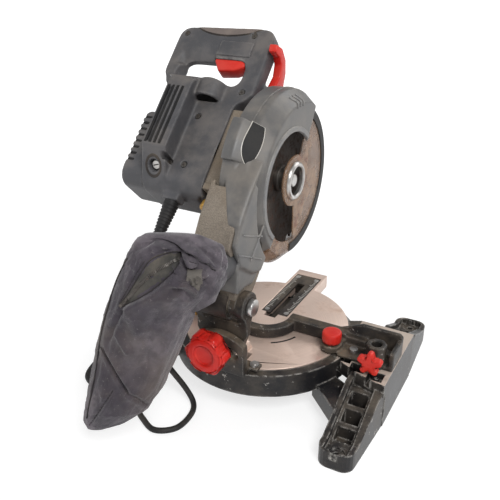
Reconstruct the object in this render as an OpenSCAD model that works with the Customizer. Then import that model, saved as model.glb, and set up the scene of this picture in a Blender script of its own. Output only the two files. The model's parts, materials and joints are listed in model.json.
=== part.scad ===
// Compound mitre saw with a 210 mm blade, at rest with its head raised and square to the fence.
// X points to the user's right, Y to the rear, Z up.
// The origin is the centre of the four bench holes, on the bench.

/* [Base] */
// Spacing of the bench holes across the saw
hole_spacing_x = 325; // [310:1:340]
// Spacing of the bench holes from front to rear
hole_spacing_y = 303; // [295:1:315]
// Diameter of each bench hole
hole_d = 8; // [6:0.5:10]
// Distance of the turntable axis behind the centre of the bench holes
table_back = 7.5; // [4:0.5:10]
// Width of each foot bar
foot_w = 44; // [40:1:48]
// Length of each foot bar beyond its bench hole
foot_overhang = 10; // [9:0.5:14]
// Outer width of the two side tables
wing_span = 380; // [374:1:392]
// Thickness of the wall round the turntable
ring_wall = 12.5; // [10:0.5:15]
// Height of the ring's underside above the bench
ring_lift = 35; // [30:1:38]

/* [Turntable] */
// Diameter of the turntable
table_d = 225; // [221:1:227]
// Height of the table top above the bench
table_h = 67.5; // [64:0.5:72]
// Thickness of the turntable disc
table_t = 12; // [10:0.5:14]
// Reach of the front tongue from the turntable axis
tongue_reach = 161; // [150:1:168]
// Width of the front tongue
tongue_w = 48; // [46:1:54]
// Width of the kerf plate
kerf_w = 40; // [36:1:42]
// Thickness of the kerf plate
kerf_t = 3.5; // [3:0.1:4.5]
// Diameter of the bolt that the turntable swivels on
swivel_d = 12; // [10:0.5:14]

/* [Fence] */
// Height of the low middle of the fence above the table
fence_low = 18.5; // [17:0.5:22]
// Height of the fence ends above the table
fence_high = 32; // [28:0.5:38]
// Thickness of the fence bar
fence_t = 16; // [14:0.5:18]
// Bore of the clamp post sockets
socket_d = 13; // [10:0.5:15]

/* [Pivots] */
// Distance of the chop pivot behind the turntable axis
pivot_back = 112; // [110:0.5:114]
// Height of the chop pivot above the table top
pivot_up = 90.5; // [88:0.5:94]
// Diameter of the chop pivot bolt
pivot_d = 14; // [12:0.5:16]
// Distance from the chop pivot to the blade's arbor
arm_len = 178; // [174:0.5:182]
// Angle from the lowered to the raised head
chop_deg = 36.5; // [35:0.5:38]
// Diameter of the bevel pivot pin
bevel_d = 16; // [14:0.5:18]
// Radius from the bevel pivot to the bevel lock stud
stud_r = 35.5; // [34:0.5:37]

/* [Blade and guards] */
// Blade diameter over the teeth
blade_d = 210; // [206:1:212]
// Thickness of the blade's plate
blade_t = 1.8; // [1.4:0.1:2.4]
// Number of teeth on the blade
blade_teeth = 24; // [20:2:40]
// Depth of the blade below the table top when lowered
blade_drop = 8; // [6:0.5:8.5]
// Diameter of the arbor under the blade
arbor_d = 16; // [14:0.5:18]
// Diameter of the blade flanges
flange_d = 40; // [36:1:44]
// Gap between the blade's teeth and the lower guard's rim
guard_gap = 3.3; // [2.5:0.1:4]
// Wall of the upper guard
guard_wall = 2.5; // [2:0.1:3]
// Radius of the opening in the upper guard's face
opening_r = 66; // [62:1:68]

/* [Gears and motor] */
// Gear module
gear_module = 1.25; // [1.2:0.05:1.35]
// Teeth on the motor pinion
pinion_teeth = 9; // [9:1:11]
// Teeth on the driven gear
gear_teeth = 41; // [39:1:44]
// Face width of the driven gear
gear_face = 10; // [8:0.5:10.5]
// Diameter of the stator
stator_d = 76; // [72:1:77]
// Length of the stator
stator_len = 46; // [40:1:48]
// Diameter of the armature core
armature_d = 46; // [42:1:48]
// Overall width of the handle
handle_w = 144; // [140:1:150]
// Thickness of the handle
handle_t = 40; // [36:1:42]
// Depth of the finger opening
finger_gap = 34; // [32:1:38]

/* [Dust port and cord] */
// Outer diameter of the dust port
port_d = 44; // [40:1:46]
// Diameter of the mains cord
cord_d = 7.5; // [7:0.1:7.8]

/* [Hidden] */
$fn = 64;
eps = 0.01;

// Clearances
run_fit = 0.05;
seat_gap = 0.1;
rest_gap = 0.3;
clear = 1;
step = 0.4;

// Colours
black_paint = "#26262a";
grey_plastic = "#5c5d62";
red_plastic = "#e2412b";
bare_steel = "#b9bcc0";
cast_alloy = "#a39a8c";
machined = "#cbb8ab";
dark_plastic = "#2b2622";
brass = "#b98a3c";
copper = "#a8622f";
cloth = "#57505c";
smoke = "#8a6f5c";
rubber = "#1d1d1f";

// Turntable and ring
table_r = table_d/2;
well_r = table_r + clear;
ring_r = well_r + ring_wall;
floor_t = 6;
table_z = table_h - table_t;
ring_top = table_h - clear;
notch_z = ring_lift + 11;
notch_half = 62;
tongue_z = notch_z + 2;
front_hole = -hole_spacing_y/2 - table_back;
rear_hole = hole_spacing_y/2 - table_back;
boss_r = 22;
swivel_top = table_h - 5;

// Feet and side tables
wing_x = wing_span/2;
wing_t = 18;
wing_front = -62;
wing_rear = 62;
foot_x = hole_spacing_x/2;
foot_in = foot_x - foot_w/2;
foot_out = foot_x + foot_w/2;
foot_low = 16;
rail_h = 8;
rail_w = 7;
skirt_wall = 6;
foot_round = 14;

// Kerf
kerf_front = -146;
kerf_rear = -22;
slot_left = -5;
slot_right = 7;
slot_front = -118;
slot_rear = -12;
kerf_depth = kerf_t + rest_gap;
kerf_screw_y = [kerf_front + 8, kerf_rear - 8];

// Fence
fence_front = -8;
fence_back = fence_front + fence_t;
fence_z = table_h + clear;
fence_low_z = table_h + fence_low;
fence_high_z = table_h + fence_high;
fence_x = wing_x - 0.5;
fence_plate = 6;
fence_inner = 35;
bow_in = 33;
bow_out = 46;
fence_foot_t = 5;
fence_step = 118;
fence_tall = 136;
socket_x = 166;
socket_y = 29;
socket_r = socket_d/2 + 6.5;
knob_x = 105;
knob_y = 24;
knob_r = 12.5;
knob_top = table_h + fence_low + 10;
lug_r = 13;
lug_z = table_h + 2;
lug_t = 9;
knob_stud_r = 4;
star_z = table_h + 17.5;
star_r = 16;
star_y = socket_y + socket_r + 1;
star_stud_r = 4;
fence_bolt_r = 3;
fence_bolt_at = [[134, 20], [177, 8]];

// Bevel pivot, bracket and quadrant
axis_z = table_h;
bevel_r = bevel_d/2;
lug_or = bevel_r + 5;
lug_inset = 12.5;
lug_len = 20;
pin_over = [12, 11];
lug_y1 = table_r - lug_inset;
lug_y0 = lug_y1 - lug_len;
pin_y0 = lug_y0 - pin_over[0];
pin_y1 = lug_y1 + pin_over[1];
stud_x = 6;
stud_z = axis_z + sqrt(stud_r*stud_r - stud_x*stud_x);
stud_d = 10;
stud_angle = asin(stud_x/stud_r);
bevel_max = 45;
quad_out = 7.5;
quad_y = table_r + quad_out;
quad_t = 11;
quad_r = stud_r + 18.5;
quad_x = 34;
quad_foot = 5.5;
column_gap = 2;
column_back = quad_y - column_gap;
column_low = 27;
flank_in = 10.5;
flank_y = quad_y - flank_in;
knob_hub_y = quad_y + quad_t + rest_gap;
stop_in = 7;
stop_y = lug_y1 + stop_in;
stop_r = 4;
stop_at = [[-37, 8.6], [33, 28.3]];
ear_half = 7;
lock_pin_d = 7;

// Chop pivot
pivot_y = pivot_back;
pivot_z = table_h + pivot_up;
pivot_r = pivot_d/2;
barrel_r = pivot_r + 7;
cheek_r = barrel_r + 4;
cheek_left = -33;
cheek_right = 38;
cheek_t = 11;
barrel_x0 = cheek_left + cheek_t + rest_gap;
barrel_x1 = cheek_right - cheek_t - rest_gap;
spring_wire = 2.6;
spring_r = (barrel_r + spring_wire/2 + 0.5)/cos(22.5);
spring_turns = 4;
spring_pitch = 4;
spring_x = 4;
cover_in = spring_r + spring_wire/2 + 0.8;
cover_r = cover_in + 2.4;
bracket_top = pivot_z - cover_r - 1.5;
lock_travel = 8;
lock_y = pivot_y - 12;
lock_z = pivot_z - cover_r - 12;

// Blade, arbor and gears, with the head lowered
blade_r = blade_d/2;
arbor_r = arbor_d/2;
arbor_z = table_h + blade_r - blade_drop;
arbor_y = pivot_y - sqrt(arm_len*arm_len - pow(arbor_z - pivot_z, 2));
gear_gap = (gear_teeth + pinion_teeth)*gear_module/2;
gear_dir = 67;
motor_y = arbor_y + gear_gap*cos(gear_dir);
motor_z = arbor_z + gear_gap*sin(gear_dir);
handle_rise = 8.5;
tooth_add = 0.8*gear_module;
tooth_ded = 1.05*gear_module;
pressure = 25;
backlash = 0.14;
flange_t = 6;
bolt_head_r = 8;
bolt_head_t = 6.5;
tooth_kerf = 2.6;
tooth_h = 8;

// Positions along X inside the head
boss_x = 8.5;
guard_x = 20;
gear_x = 27;
case_x = 40;
cover_x = 48;
bearing_t = 8;
boss_or = 29.9;
arbor_bearing_r = 17;
arbor_tail_r = 5;
tail_bearing_r = 11;
tail_bearing_x = case_x + 1;
tail_bearing_t = 6;
front_bearing_r = 13;
shaft_r = 6;
rear_shaft_r = 4;
disc_x = cover_x + 2;
disc_t = 6;
disc_r = 16;
fan_x = disc_x + disc_t + 1;
fan_t = 9;
fan_r = 35;
core_x = fan_x + fan_t + 4;
comm_x = core_x + stator_len + 6;
comm_len = 19;
comm_r = 14;
end_x = 150;
cap_x = 184;
rear_bearing_x = 163;
rear_bearing_r = 11;
rear_bearing_t = 8;

// Guard sections, as distances from the arbor and along X
lower_in = blade_r + guard_gap;
lower_wall = 2;
lower_r = lower_in + lower_wall;
upper_in = lower_r + 1.2;
upper_r = upper_in + guard_wall;
lower_x0 = -22.5;
lower_x1 = 12;
lower_step = lower_r - 13.5;
upper_x0 = lower_x0 - 3 - guard_wall;
upper_step = upper_r - 15;
hub_r = 26;
shoulder_x = -9;
face_in = 45;
opening_y = 18;
opening_z = 15.5;
block_h = 12;
block_from = 153;
block_to = 177;
rib_h = 6;
rib_from = 120;
upper_from = 87;
upper_to = 247;
lower_from = 246;
lower_to = 444;
lower_face_in = 80;
lower_face_to = 396;
face_x0 = lower_x0 + step/2;
face_x1 = lower_x0 + lower_wall - step/2;

// Motor housing and handle, in the motor's own frame
house_y0 = -50;
house_y1 = 64;
house_z0 = -44;
house_z1 = handle_t;
house_round = 22;
part_z = handle_t/2;
handle_x0 = 40;
handle_x1 = handle_x0 + handle_w;
handle_y0 = -171;
grip_t = 46;
neck_y = -72;
post_t = 25;
left_post_t = 33;
finger_y0 = handle_y0 + grip_t;
finger_y1 = finger_y0 + finger_gap;
finger_round = 11;
corner_round = 15;
bore_r = stator_d/2 + rest_gap;
block_x0 = 114;
block_x1 = 150;
block_top = handle_t + 25;
hood_x = 100;
hood_r = 21;
hood_wall = 5;
hood_y0 = -92;
hood_y1 = -66;
trigger_x0 = 68;
trigger_x1 = 110;
trigger_drop = 13;
trigger_h = 16;
trigger_travel = 6;
switch_x0 = trigger_x0 + 10;
switch_y0 = handle_y0 + 9;
switch_y1 = finger_y0 - 7;
screw_at = [[172, handle_y0 + 10, 4], [70, handle_y0 + 10, 4], [56, -84, 4], [104, -42, 4],
  [117, 27, 31], [96, 27, 31]];
screw_sink = 4;
screw_r = 2;
screw_head_r = 4;
brush_dir = 50.5;
brush_x = comm_x + comm_len/2;
brush_w = 7;
brush_len = 18;
brush_cap_r = 8;
brush_cap_out = 54;
lever_y = -104;
lever_z = 8;
lever_x0 = 27;
lever_x1 = 38;
lever_pin_r = 3;
lock_x = disc_x + disc_t/2;
lock_dir = 16;
lock_tip = disc_r + 3;
lock_hole_r = 3;
lock_pin_r = 2.6;
lock_head_r = 9;
lock_out = 66;
lock_cap = 10;
lock_stroke = 2.5;
cord_x = 104;
boot_len = 50;
boot_r = 9.5;
boot_tip_r = cord_d/2 + 2;
gland_y = house_y1 + 8;

// Dust port, raised, from the turntable axis
port_x = -2;
port_z = pivot_z + 60;
port_y0 = pivot_y;
port_y1 = pivot_y + 40;
port_wall = 3;

// The arc of points about a centre, from one angle to another
function arc(c, r, a0, a1, n = 6) =
  [for (i = [0:n]) [c[0] + r*cos(a0 + (a1 - a0)*i/n), c[1] + r*sin(a0 + (a1 - a0)*i/n)]];

// A rectangle with rounded corners
function round_rect(x0, y0, x1, y1, r, n = 6) = concat(
  arc([x1 - r, y1 - r], r, 0, 90, n),
  arc([x0 + r, y1 - r], r, 90, 180, n),
  arc([x0 + r, y0 + r], r, 180, 270, n),
  arc([x1 - r, y0 + r], r, 270, 360, n));

// A wedge from the origin, wide enough to cut a sector out of a disc
function wedge(a0, a1, r) = concat([[0, 0]], arc([0, 0], r, a0, a1, 12));

// One involute flank, from the root to the tip
function inv(a) = tan(a)*180/PI - a;
function flank(teeth, side) = let(
    rp = teeth*gear_module/2,
    rb = rp*cos(pressure),
    half = 90/teeth - backlash/2/rp*180/PI,
    r0 = max(rb, rp - tooth_ded),
    r1 = rp + tooth_add)
  [for (k = [0:4]) let(
      r = r0 + (r1 - r0)*k/4,
      a = half + inv(pressure) - inv(acos(rb/r)))
    [r, side*a]];
function gear_points(teeth) = let(root = teeth*gear_module/2 - tooth_ded)
  [for (i = [0:teeth - 1]) let(
      up = flank(teeth, -1),
      down = flank(teeth, 1),
      polar = concat(
        [[root, up[0][1]]], up,
        [for (k = [0:4]) down[4 - k]],
        [[root, down[0][1]]]))
    for (p = polar) let(a = p[1] + 360*i/teeth) [p[0]*cos(a), p[0]*sin(a)]];

// A smooth curve through hand-chosen points
function spline(p, steps) = concat(
  [for (i = [0:len(p) - 2], k = [0:steps - 1]) let(
      a = p[max(i - 1, 0)],
      b = p[i],
      c = p[i + 1],
      d = p[min(i + 2, len(p) - 1)],
      t = k/steps)
    b + 0.5*t*((c - a) + t*((2*a - 5*b + 4*c - d) + t*(3*(b - c) + d - a)))],
  [p[len(p) - 1]]);

// Unit tangents, and side vectors carried along them without twist
function unit(v) = v/norm(v);
function tangents(p) =
  [for (i = [0:len(p) - 1]) unit(p[min(i + 1, len(p) - 1)] - p[max(i - 1, 0)])];
function carry(t, k, side, out) = k == len(t) ? out : let(
    s = unit(side - (side*t[k])*t[k]))
  carry(t, k + 1, s, concat(out, [s]));

// A tube swept along a path
module tube(path, r, sides) {
  t = tangents(path);
  s = carry(t, 0, [0.31, 0.22, 0.92], []);
  n = len(path);
  points = [for (i = [0:n - 1], k = [0:sides - 1]) let(a = 360*k/sides)
    path[i] + r*(cos(a)*s[i] + sin(a)*cross(t[i], s[i]))];
  walls = [for (i = [0:n - 2], k = [0:sides - 1]) let(
      a = i*sides + k,
      b = i*sides + (k + 1)%sides)
    each [[a, a + sides, b], [b, a + sides, b + sides]]];
  first = [for (k = [1:sides - 2]) [0, k, k + 1]];
  last = [for (k = [1:sides - 2]) let(m = (n - 1)*sides) [m, m + k + 1, m + k]];
  polyhedron(points, concat(walls, first, last));
}

// Frames of reference
module at_table() { translate([0, table_back, 0]) children(); }
module head() {
  at_table() translate([0, pivot_y, pivot_z]) rotate([-chop_deg, 0, 0])
    translate([0, -pivot_y, -pivot_z]) children();
}
module at_arbor() { head() translate([0, arbor_y, arbor_z]) children(); }
module at_motor() { head() translate([0, motor_y, motor_z]) rotate([-handle_rise, 0, 0]) children(); }

// A round bar along X, and one along Y
module bar_x(x0, x1, r) { translate([x0, 0, 0]) rotate([0, 90, 0]) cylinder(r = r, h = x1 - x0); }
module bar_y(y0, y1, r) { translate([0, y0, 0]) rotate([-90, 0, 0]) cylinder(r = r, h = y1 - y0); }

// A box between two corners
module box(a, b) { translate(a) cube(b - a); }

// An outline in Y and Z, extruded along X, and one in X and Z, extruded along Y
module prism_x(x0, x1, pts) {
  translate([x0, 0, 0]) rotate([90, 0, 90]) linear_extrude(x1 - x0) polygon(pts);
}
module prism_y(y0, y1, pts) {
  translate([0, y1, 0]) rotate([90, 0, 0]) linear_extrude(y1 - y0) polygon(pts);
}

// A section of radius and X, turned about the X axis: 0 is down, 90 rear, 180 up and 270 front
module turn_x(from, to, pts) {
  rotate([0, 90, 0]) rotate([0, 0, from]) rotate_extrude(angle = to - from) polygon(pts);
}

// A ring along X
module ring_x(x0, x1, outer, inner) {
  difference() {
    bar_x(x0, x1, outer);
    bar_x(x0 - 1, x1 + 1, inner);
  }
}

// Both sides of the saw
module both_sides() {
  children();
  mirror([1, 0, 0]) children();
}

// Base casting: foot bars, side tables, ring and floor
foot_plan = concat(
  [[foot_in, wing_rear - 20], [foot_in, rear_hole + foot_overhang - foot_round]],
  arc([foot_in + foot_round, rear_hole + foot_overhang - foot_round], foot_round, 180, 90, 5),
  arc([foot_out - foot_round, rear_hole + foot_overhang - foot_round], foot_round, 90, 0, 5),
  [[wing_x, wing_rear - 20]]);
wing_plan = [[95, wing_front], [wing_x, wing_front], [wing_x, wing_rear + 2], [176, 62], [152, 55],
  [128, 43], [112, 34], [95, 30]];
pocket_at = [[128, 33, 9, 8], [149, 45, 10, 8], [174, 51, 10, 9]];
wing_bottom = table_h - wing_t;

module foot_ramp(lift) {
  end = rear_hole + foot_overhang;
  prism_x(foot_in - 1, wing_x + 1, [[wing_rear - 20, 0], [end, 0], [end, foot_low + lift],
    [rear_hole - 12, foot_low + lift], [wing_rear, wing_bottom + lift],
    [wing_rear - 20, wing_bottom + lift]]);
}

module foot_bar() {
  difference() {
    intersection() {
      foot_ramp(rail_h);
      linear_extrude(table_h) polygon(foot_plan);
    }
    difference() {
      translate([0, 0, eps]) foot_ramp(rail_h + 2);
      foot_ramp(0);
      box([0, 0, 0], [foot_in + rail_w, 400, table_h]);
      box([foot_out - rail_w, 0, 0], [wing_x + 2, 400, table_h]);
      box([0, rear_hole + foot_overhang - 4, 0], [wing_x + 2, 400, table_h]);
    }
    for (y = [74, 96, 118])
      box([foot_x - 11, y - 8, 10], [foot_x + 11, y + 8, table_h]);
    translate([foot_x, rear_hole, foot_low - 2]) cylinder(r = hole_d/2 + 6, h = table_h);
  }
}

module side_table() {
  difference() {
    union() {
      translate([0, 0, wing_bottom]) linear_extrude(wing_t) polygon(wing_plan);
      box([foot_in, wing_front, 0], [wing_x, wing_rear - 6, wing_bottom + 1]);
    }
    box([foot_in + skirt_wall, wing_front + skirt_wall, -1],
      [wing_x - skirt_wall, wing_rear - 6 - skirt_wall, wing_bottom - skirt_wall]);
    for (p = pocket_at)
      box([p[0] - p[2], p[1] - p[3], table_h - 13], [p[0] + p[2], p[1] + p[3], table_h + 1]);
  }
}

module base_casting() {
  color(black_paint) at_table() difference() {
    union() {
      translate([0, 0, ring_lift]) cylinder(r = ring_r, h = ring_top - ring_lift);
      both_sides() {
        side_table();
        foot_bar();
        translate([0, -2*table_back - 0, 0]) mirror([0, 1, 0]) foot_bar();
        translate([0, 0, foot_low]) linear_extrude(ring_lift + 6 - foot_low)
          polygon([[96, 60], [foot_in + 2, 104], [foot_in + 2, 52], [112, 36]]);
      }
    }
    difference() {
      translate([0, 0, ring_lift + floor_t]) cylinder(r = well_r, h = table_h);
      cylinder(r = boss_r, h = table_z);
    }
    translate([0, 0, notch_z]) linear_extrude(table_h)
      polygon(wedge(-90 - notch_half, -90 + notch_half, 400));
    translate([0, 0, -1]) cylinder(r = swivel_d/2 + run_fit, h = table_h);
    both_sides() {
      for (y = [front_hole, rear_hole])
        translate([foot_x, y, -1]) cylinder(d = hole_d, h = table_h);
      for (p = fence_bolt_at)
        translate([p[0], p[1], wing_bottom]) cylinder(r = fence_bolt_r + seat_gap, h = table_h);
    }
  }
}

module swivel_bolt() {
  color(bare_steel) at_table() {
    translate([0, 0, ring_lift - 7]) cylinder(r = swivel_d/2 + 5, h = 7);
    translate([0, 0, ring_lift - eps]) cylinder(d = swivel_d, h = swivel_top - ring_lift);
  }
}

module mitre_scale() {
  color(bare_steel) at_table() translate([0, 0, notch_z])
    difference() {
      intersection() {
        cylinder(r = ring_r, h = 1);
        linear_extrude(1) polygon(wedge(-90 - notch_half + 4, -90 + notch_half - 4, 200));
      }
      translate([0, 0, -1]) cylinder(r = well_r + 0.5, h = 3);
    }
}

// Fence: one casting with a bow behind the blade
module fence_half() {
  box([bow_in + 2, fence_front, fence_z], [fence_step, fence_back, fence_low_z]);
  prism_y(fence_front, fence_front + fence_plate, [[fence_step - 12, fence_z], [fence_x, fence_z],
    [fence_x, fence_high_z - 4], [fence_x - 4, fence_high_z], [fence_tall, fence_high_z],
    [fence_step - 12, fence_low_z]]);
  box([fence_step - 1, fence_front, table_h], [fence_x, socket_y + 6, table_h + fence_foot_t]);
  box([fence_step - 1, fence_front, table_h], [fence_tall + 10, fence_back, fence_low_z - 3]);
  box([fence_x - fence_plate, fence_front, table_h], [fence_x, socket_y + 4, fence_high_z - 8]);
  translate([socket_x, socket_y, table_h]) rotate([0, 0, 22.5])
    cylinder(r = socket_r, h = fence_high_z - table_h, $fn = 8);
  translate([knob_x, knob_y, lug_z]) cylinder(r = lug_r, h = lug_t);
  box([knob_x - lug_r, 0, lug_z], [knob_x + lug_r, knob_y, lug_z + lug_t]);
}

module fence() {
  color(black_paint) at_table() difference() {
    union() {
      both_sides() fence_half();
      difference() {
        translate([0, 0, fence_z]) cylinder(r = bow_out, h = fence_low_z - 3 - fence_z);
        box([-100, -100, 0], [100, fence_front, 200]);
      }
    }
    difference() {
      translate([0, 0, fence_z - 1]) cylinder(r = bow_in, h = 100);
      box([-100, fence_front - 100, 0], [-bow_in - 2, 100, 200]);
      box([bow_in + 2, fence_front - 100, 0], [100, 100, 200]);
    }
    both_sides() {
      translate([socket_x, socket_y, table_h + fence_foot_t]) cylinder(d = socket_d, h = 100);
      translate([socket_x, 0, star_z]) bar_y(socket_y, socket_y + 40, star_stud_r + seat_gap);
      translate([knob_x, knob_y, 0]) cylinder(r = knob_stud_r + run_fit, h = 200);
      for (p = fence_bolt_at)
        translate([p[0], p[1], 0]) cylinder(r = fence_bolt_r + seat_gap, h = 200);
    }
  }
}

module fence_bolts() {
  color(bare_steel) at_table() both_sides() for (p = fence_bolt_at)
    translate([p[0], p[1], 0]) {
      translate([0, 0, wing_bottom]) cylinder(r = fence_bolt_r, h = wing_t + fence_foot_t + eps);
      translate([0, 0, table_h + fence_foot_t]) cylinder(r = fence_bolt_r + 2.4, h = 4);
    }
}

// Round knobs that clamp the rim of the turntable
module mitre_knob() {
  translate([knob_x, knob_y, 0]) {
    translate([0, 0, lug_z + lug_t + rest_gap]) cylinder(r = knob_r - 3, h = 4);
    translate([0, 0, lug_z + lug_t + 4]) cylinder(r = knob_r, h = knob_top - lug_z - lug_t - 4);
    translate([0, 0, table_h + rest_gap]) cylinder(r = knob_stud_r, h = knob_top - table_h - 2);
  }
}
module mitre_knob_left() { color(red_plastic) at_table() mirror([1, 0, 0]) mitre_knob(); }
module mitre_knob_right() { color(red_plastic) at_table() mitre_knob(); }

// Star knobs that grip the clamp posts
module clamp_knob() {
  translate([socket_x, 0, star_z]) {
    bar_y(socket_y + socket_d/2 + 1, star_y + 2, star_stud_r);
    bar_y(star_y, star_y + 5, 6.5);
    bar_y(star_y + 4 + step, star_y + 14 - step, star_r - 6);
    for (a = [90:72:378])
      rotate([0, -a, 0]) prism_y(star_y + 4, star_y + 14, concat(
        [[0, -4.5]], arc([star_r - 4, 0], 4, -80, 80, 6), [[0, 4.5]]));
  }
}
module clamp_knob_left() { color(red_plastic) at_table() mirror([1, 0, 0]) clamp_knob(); }
module clamp_knob_right() { color(red_plastic) at_table() clamp_knob(); }

// Turntable with its tongue and the ears of the bevel pivot
module turntable() {
  color(machined) at_table() difference() {
    union() {
      translate([0, 0, table_z]) cylinder(r = table_r, h = table_t);
      box([-tongue_w/2, -tongue_reach, tongue_z], [tongue_w/2, -table_r + 8, table_h]);
      box([-tongue_w/2, -table_r + 7, table_z - 3], [tongue_w/2, -40, table_z + 1]);
      translate([0, 0, axis_z]) {
        bar_y(pin_y0, lug_y0, lug_or);
        bar_y(lug_y1, pin_y1, lug_or);
      }
    }
    box([-kerf_w/2 - seat_gap, kerf_front - seat_gap, table_h - kerf_depth],
      [kerf_w/2 + seat_gap, kerf_rear + seat_gap, table_h + 1]);
    box([slot_left - 1, slot_front - 2, 0], [slot_right + 5, slot_rear, table_h + 1]);
    box([-lug_or - 6, lug_y0, 0], [lug_or + 6, lug_y1, table_h + 30]);
    translate([0, 0, axis_z]) bar_y(pin_y0 - 1, pin_y1 + 1, bevel_r + seat_gap/2);
    cylinder(r = swivel_d/2 + run_fit, h = swivel_top + rest_gap);
    for (x = [-kerf_w/2 + 5, kerf_w/2 - 5], y = kerf_screw_y)
      translate([x, y, 0]) cylinder(r = 2 + seat_gap, h = table_h + 1);
  }
}

module kerf_plate() {
  color(dark_plastic) at_table() difference() {
    box([-kerf_w/2, kerf_front, table_h - kerf_depth], [kerf_w/2, kerf_rear, table_h - rest_gap]);
    box([slot_left, slot_front, 0], [slot_right, slot_rear, table_h + 1]);
    for (x = [-kerf_w/2 + 5, kerf_w/2 - 5], y = kerf_screw_y) translate([x, y, 0]) {
      cylinder(r = 2 + seat_gap, h = table_h + 1);
      translate([0, 0, table_h - rest_gap - 1.6]) cylinder(r = 3.6 + seat_gap, h = 3);
    }
  }
}

module kerf_screws() {
  color(bare_steel) at_table() for (x = [-kerf_w/2 + 5, kerf_w/2 - 5], y = kerf_screw_y)
    translate([x, y, 0]) {
      translate([0, 0, table_h - 9]) cylinder(r = 2, h = 8);
      translate([0, 0, table_h - rest_gap - 1.6]) cylinder(r = 3.6, h = 1.5);
    }
}

// Bevel quadrant behind the bracket, with the arc slot of the lock stud
module bevel_quadrant() {
  color(black_paint) at_table() difference() {
    union() {
      intersection() {
        translate([0, 0, axis_z]) bar_y(quad_y, quad_y + quad_t, quad_r);
        box([-quad_x, quad_y - 1, axis_z + clear], [quad_x, quad_y + quad_t + 1, axis_z + quad_r + 1]);
      }
      box([-quad_x, lug_y1 + 1, axis_z + clear], [quad_x, quad_y + quad_t, axis_z + quad_foot]);
      box([-quad_x, lug_y1 + 1, axis_z], [quad_x, table_r - 8, axis_z + quad_foot]);
      for (p = stop_at)
        box([p[0] - ear_half, stop_y - ear_half, axis_z + clear],
          [p[0] + ear_half, stop_y + ear_half, axis_z + quad_foot]);
    }
    translate([0, 0, axis_z]) {
      difference() {
        bar_y(quad_y - 5, quad_y + quad_t + 5, stud_r + stud_d/2 + 0.8);
        bar_y(quad_y - 6, quad_y + quad_t + 6, stud_r - stud_d/2 - 0.8);
        prism_y(quad_y - 6, quad_y + quad_t + 6,
          wedge(90 + bevel_max - stud_angle, 450 - stud_angle, 200));
      }
      for (a = [-stud_angle, bevel_max - stud_angle])
        rotate([0, -a, 0]) translate([0, 0, stud_r])
          bar_y(quad_y - 5, quad_y + quad_t + 5, stud_d/2 + 1);
      bar_y(lug_y1, pin_y1 + 1, lug_or + 0.5);
    }
    for (p = stop_at)
      translate([p[0], stop_y, 0]) cylinder(r = stop_r + seat_gap, h = 200);
  }
}

module bevel_stops() {
  color(bare_steel) at_table() for (p = stop_at) translate([p[0], stop_y, axis_z]) {
    translate([0, 0, clear]) cylinder(r = stop_r, h = p[1] - clear);
    translate([0, 0, quad_foot]) cylinder(r = stop_r + 2.4, h = 2.6, $fn = 6);
  }
}

module bevel_pin() {
  color(bare_steel) at_table() translate([0, 0, axis_z]) bar_y(pin_y0 + 0.5, pin_y1 - 0.5, bevel_r);
}

// Bevel bracket: pivot lug, column and the cheeks of the chop pivot
module bevel_bracket() {
  color(black_paint) at_table() difference() {
    union() {
      translate([0, 0, axis_z]) bar_y(lug_y0 + rest_gap, lug_y1 - rest_gap, lug_or);
      prism_y(lug_y0 + 1, lug_y1 - 1, [[-9, axis_z + 6], [-16, axis_z + column_low + 1],
        [24, axis_z + column_low + 1], [12, axis_z + 6]]);
      prism_y(lug_y0 + 1, column_back, [[-5, axis_z + column_low], [-5, bracket_top],
        [cheek_right, bracket_top], [cheek_right, axis_z + 46], [28, axis_z + column_low]]);
      prism_y(flank_y, column_back, [[-15, axis_z + column_low], [-24, axis_z + 38],
        [cheek_left, axis_z + 52], [cheek_left, bracket_top], [0, bracket_top], [0, axis_z + column_low]]);
      for (p = [[cheek_left, flank_y], [cheek_right - cheek_t, lug_y0 + 6]]) {
        translate([0, pivot_y, pivot_z]) bar_x(p[0], p[0] + cheek_t, cheek_r);
        prism_x(p[0], p[0] + cheek_t, [[p[1], bracket_top - 4], [column_back, bracket_top - 4],
          [pivot_y + cheek_r - 2, pivot_z], [pivot_y - cheek_r + 2, pivot_z]]);
      }
    }
    translate([0, 0, axis_z]) bar_y(0, 200, bevel_r + run_fit);
    translate([0, pivot_y, pivot_z]) bar_x(-100, 100, pivot_r + seat_gap);
    translate([stud_x, 0, stud_z]) bar_y(column_back - 12, 200, stud_d/2 + seat_gap);
    translate([0, lock_y, lock_z]) bar_x(cheek_right - 22 - lock_travel - 2, 100, lock_pin_d/2 + run_fit);
  }
}

module bevel_stud() {
  color(bare_steel) at_table() translate([stud_x, 0, stud_z])
    bar_y(column_back - 12, knob_hub_y + 20, stud_d/2);
}

// Lobed knob that clamps the bevel
module bevel_knob() {
  knob_lobe = 7;
  knob_or = 28;
  color(red_plastic) at_table() translate([stud_x, 0, stud_z]) difference() {
    union() {
      bar_y(knob_hub_y, knob_hub_y + 8, 13);
      bar_y(knob_hub_y + 7, knob_hub_y + 26, knob_or - knob_lobe + 2);
      for (a = [0:60:300])
        rotate([0, a, 0]) translate([knob_or - knob_lobe, 0, 0])
          bar_y(knob_hub_y + 7, knob_hub_y + 24, knob_lobe);
    }
    bar_y(0, knob_hub_y + 20.5, stud_d/2 + run_fit);
    translate([0, knob_hub_y + 26, 0]) rotate([90, 0, 0]) translate([0, 0, -1]) cylinder(r = 13, h = 4);
  }
}

// Chop pivot
module pivot_bolt() {
  color(bare_steel) at_table() translate([0, pivot_y, pivot_z]) {
    bar_x(cheek_left - 6, cheek_right + 8, pivot_r);
    bar_x(cheek_left - 7, cheek_left, pivot_r + 3.5);
  }
}

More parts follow.
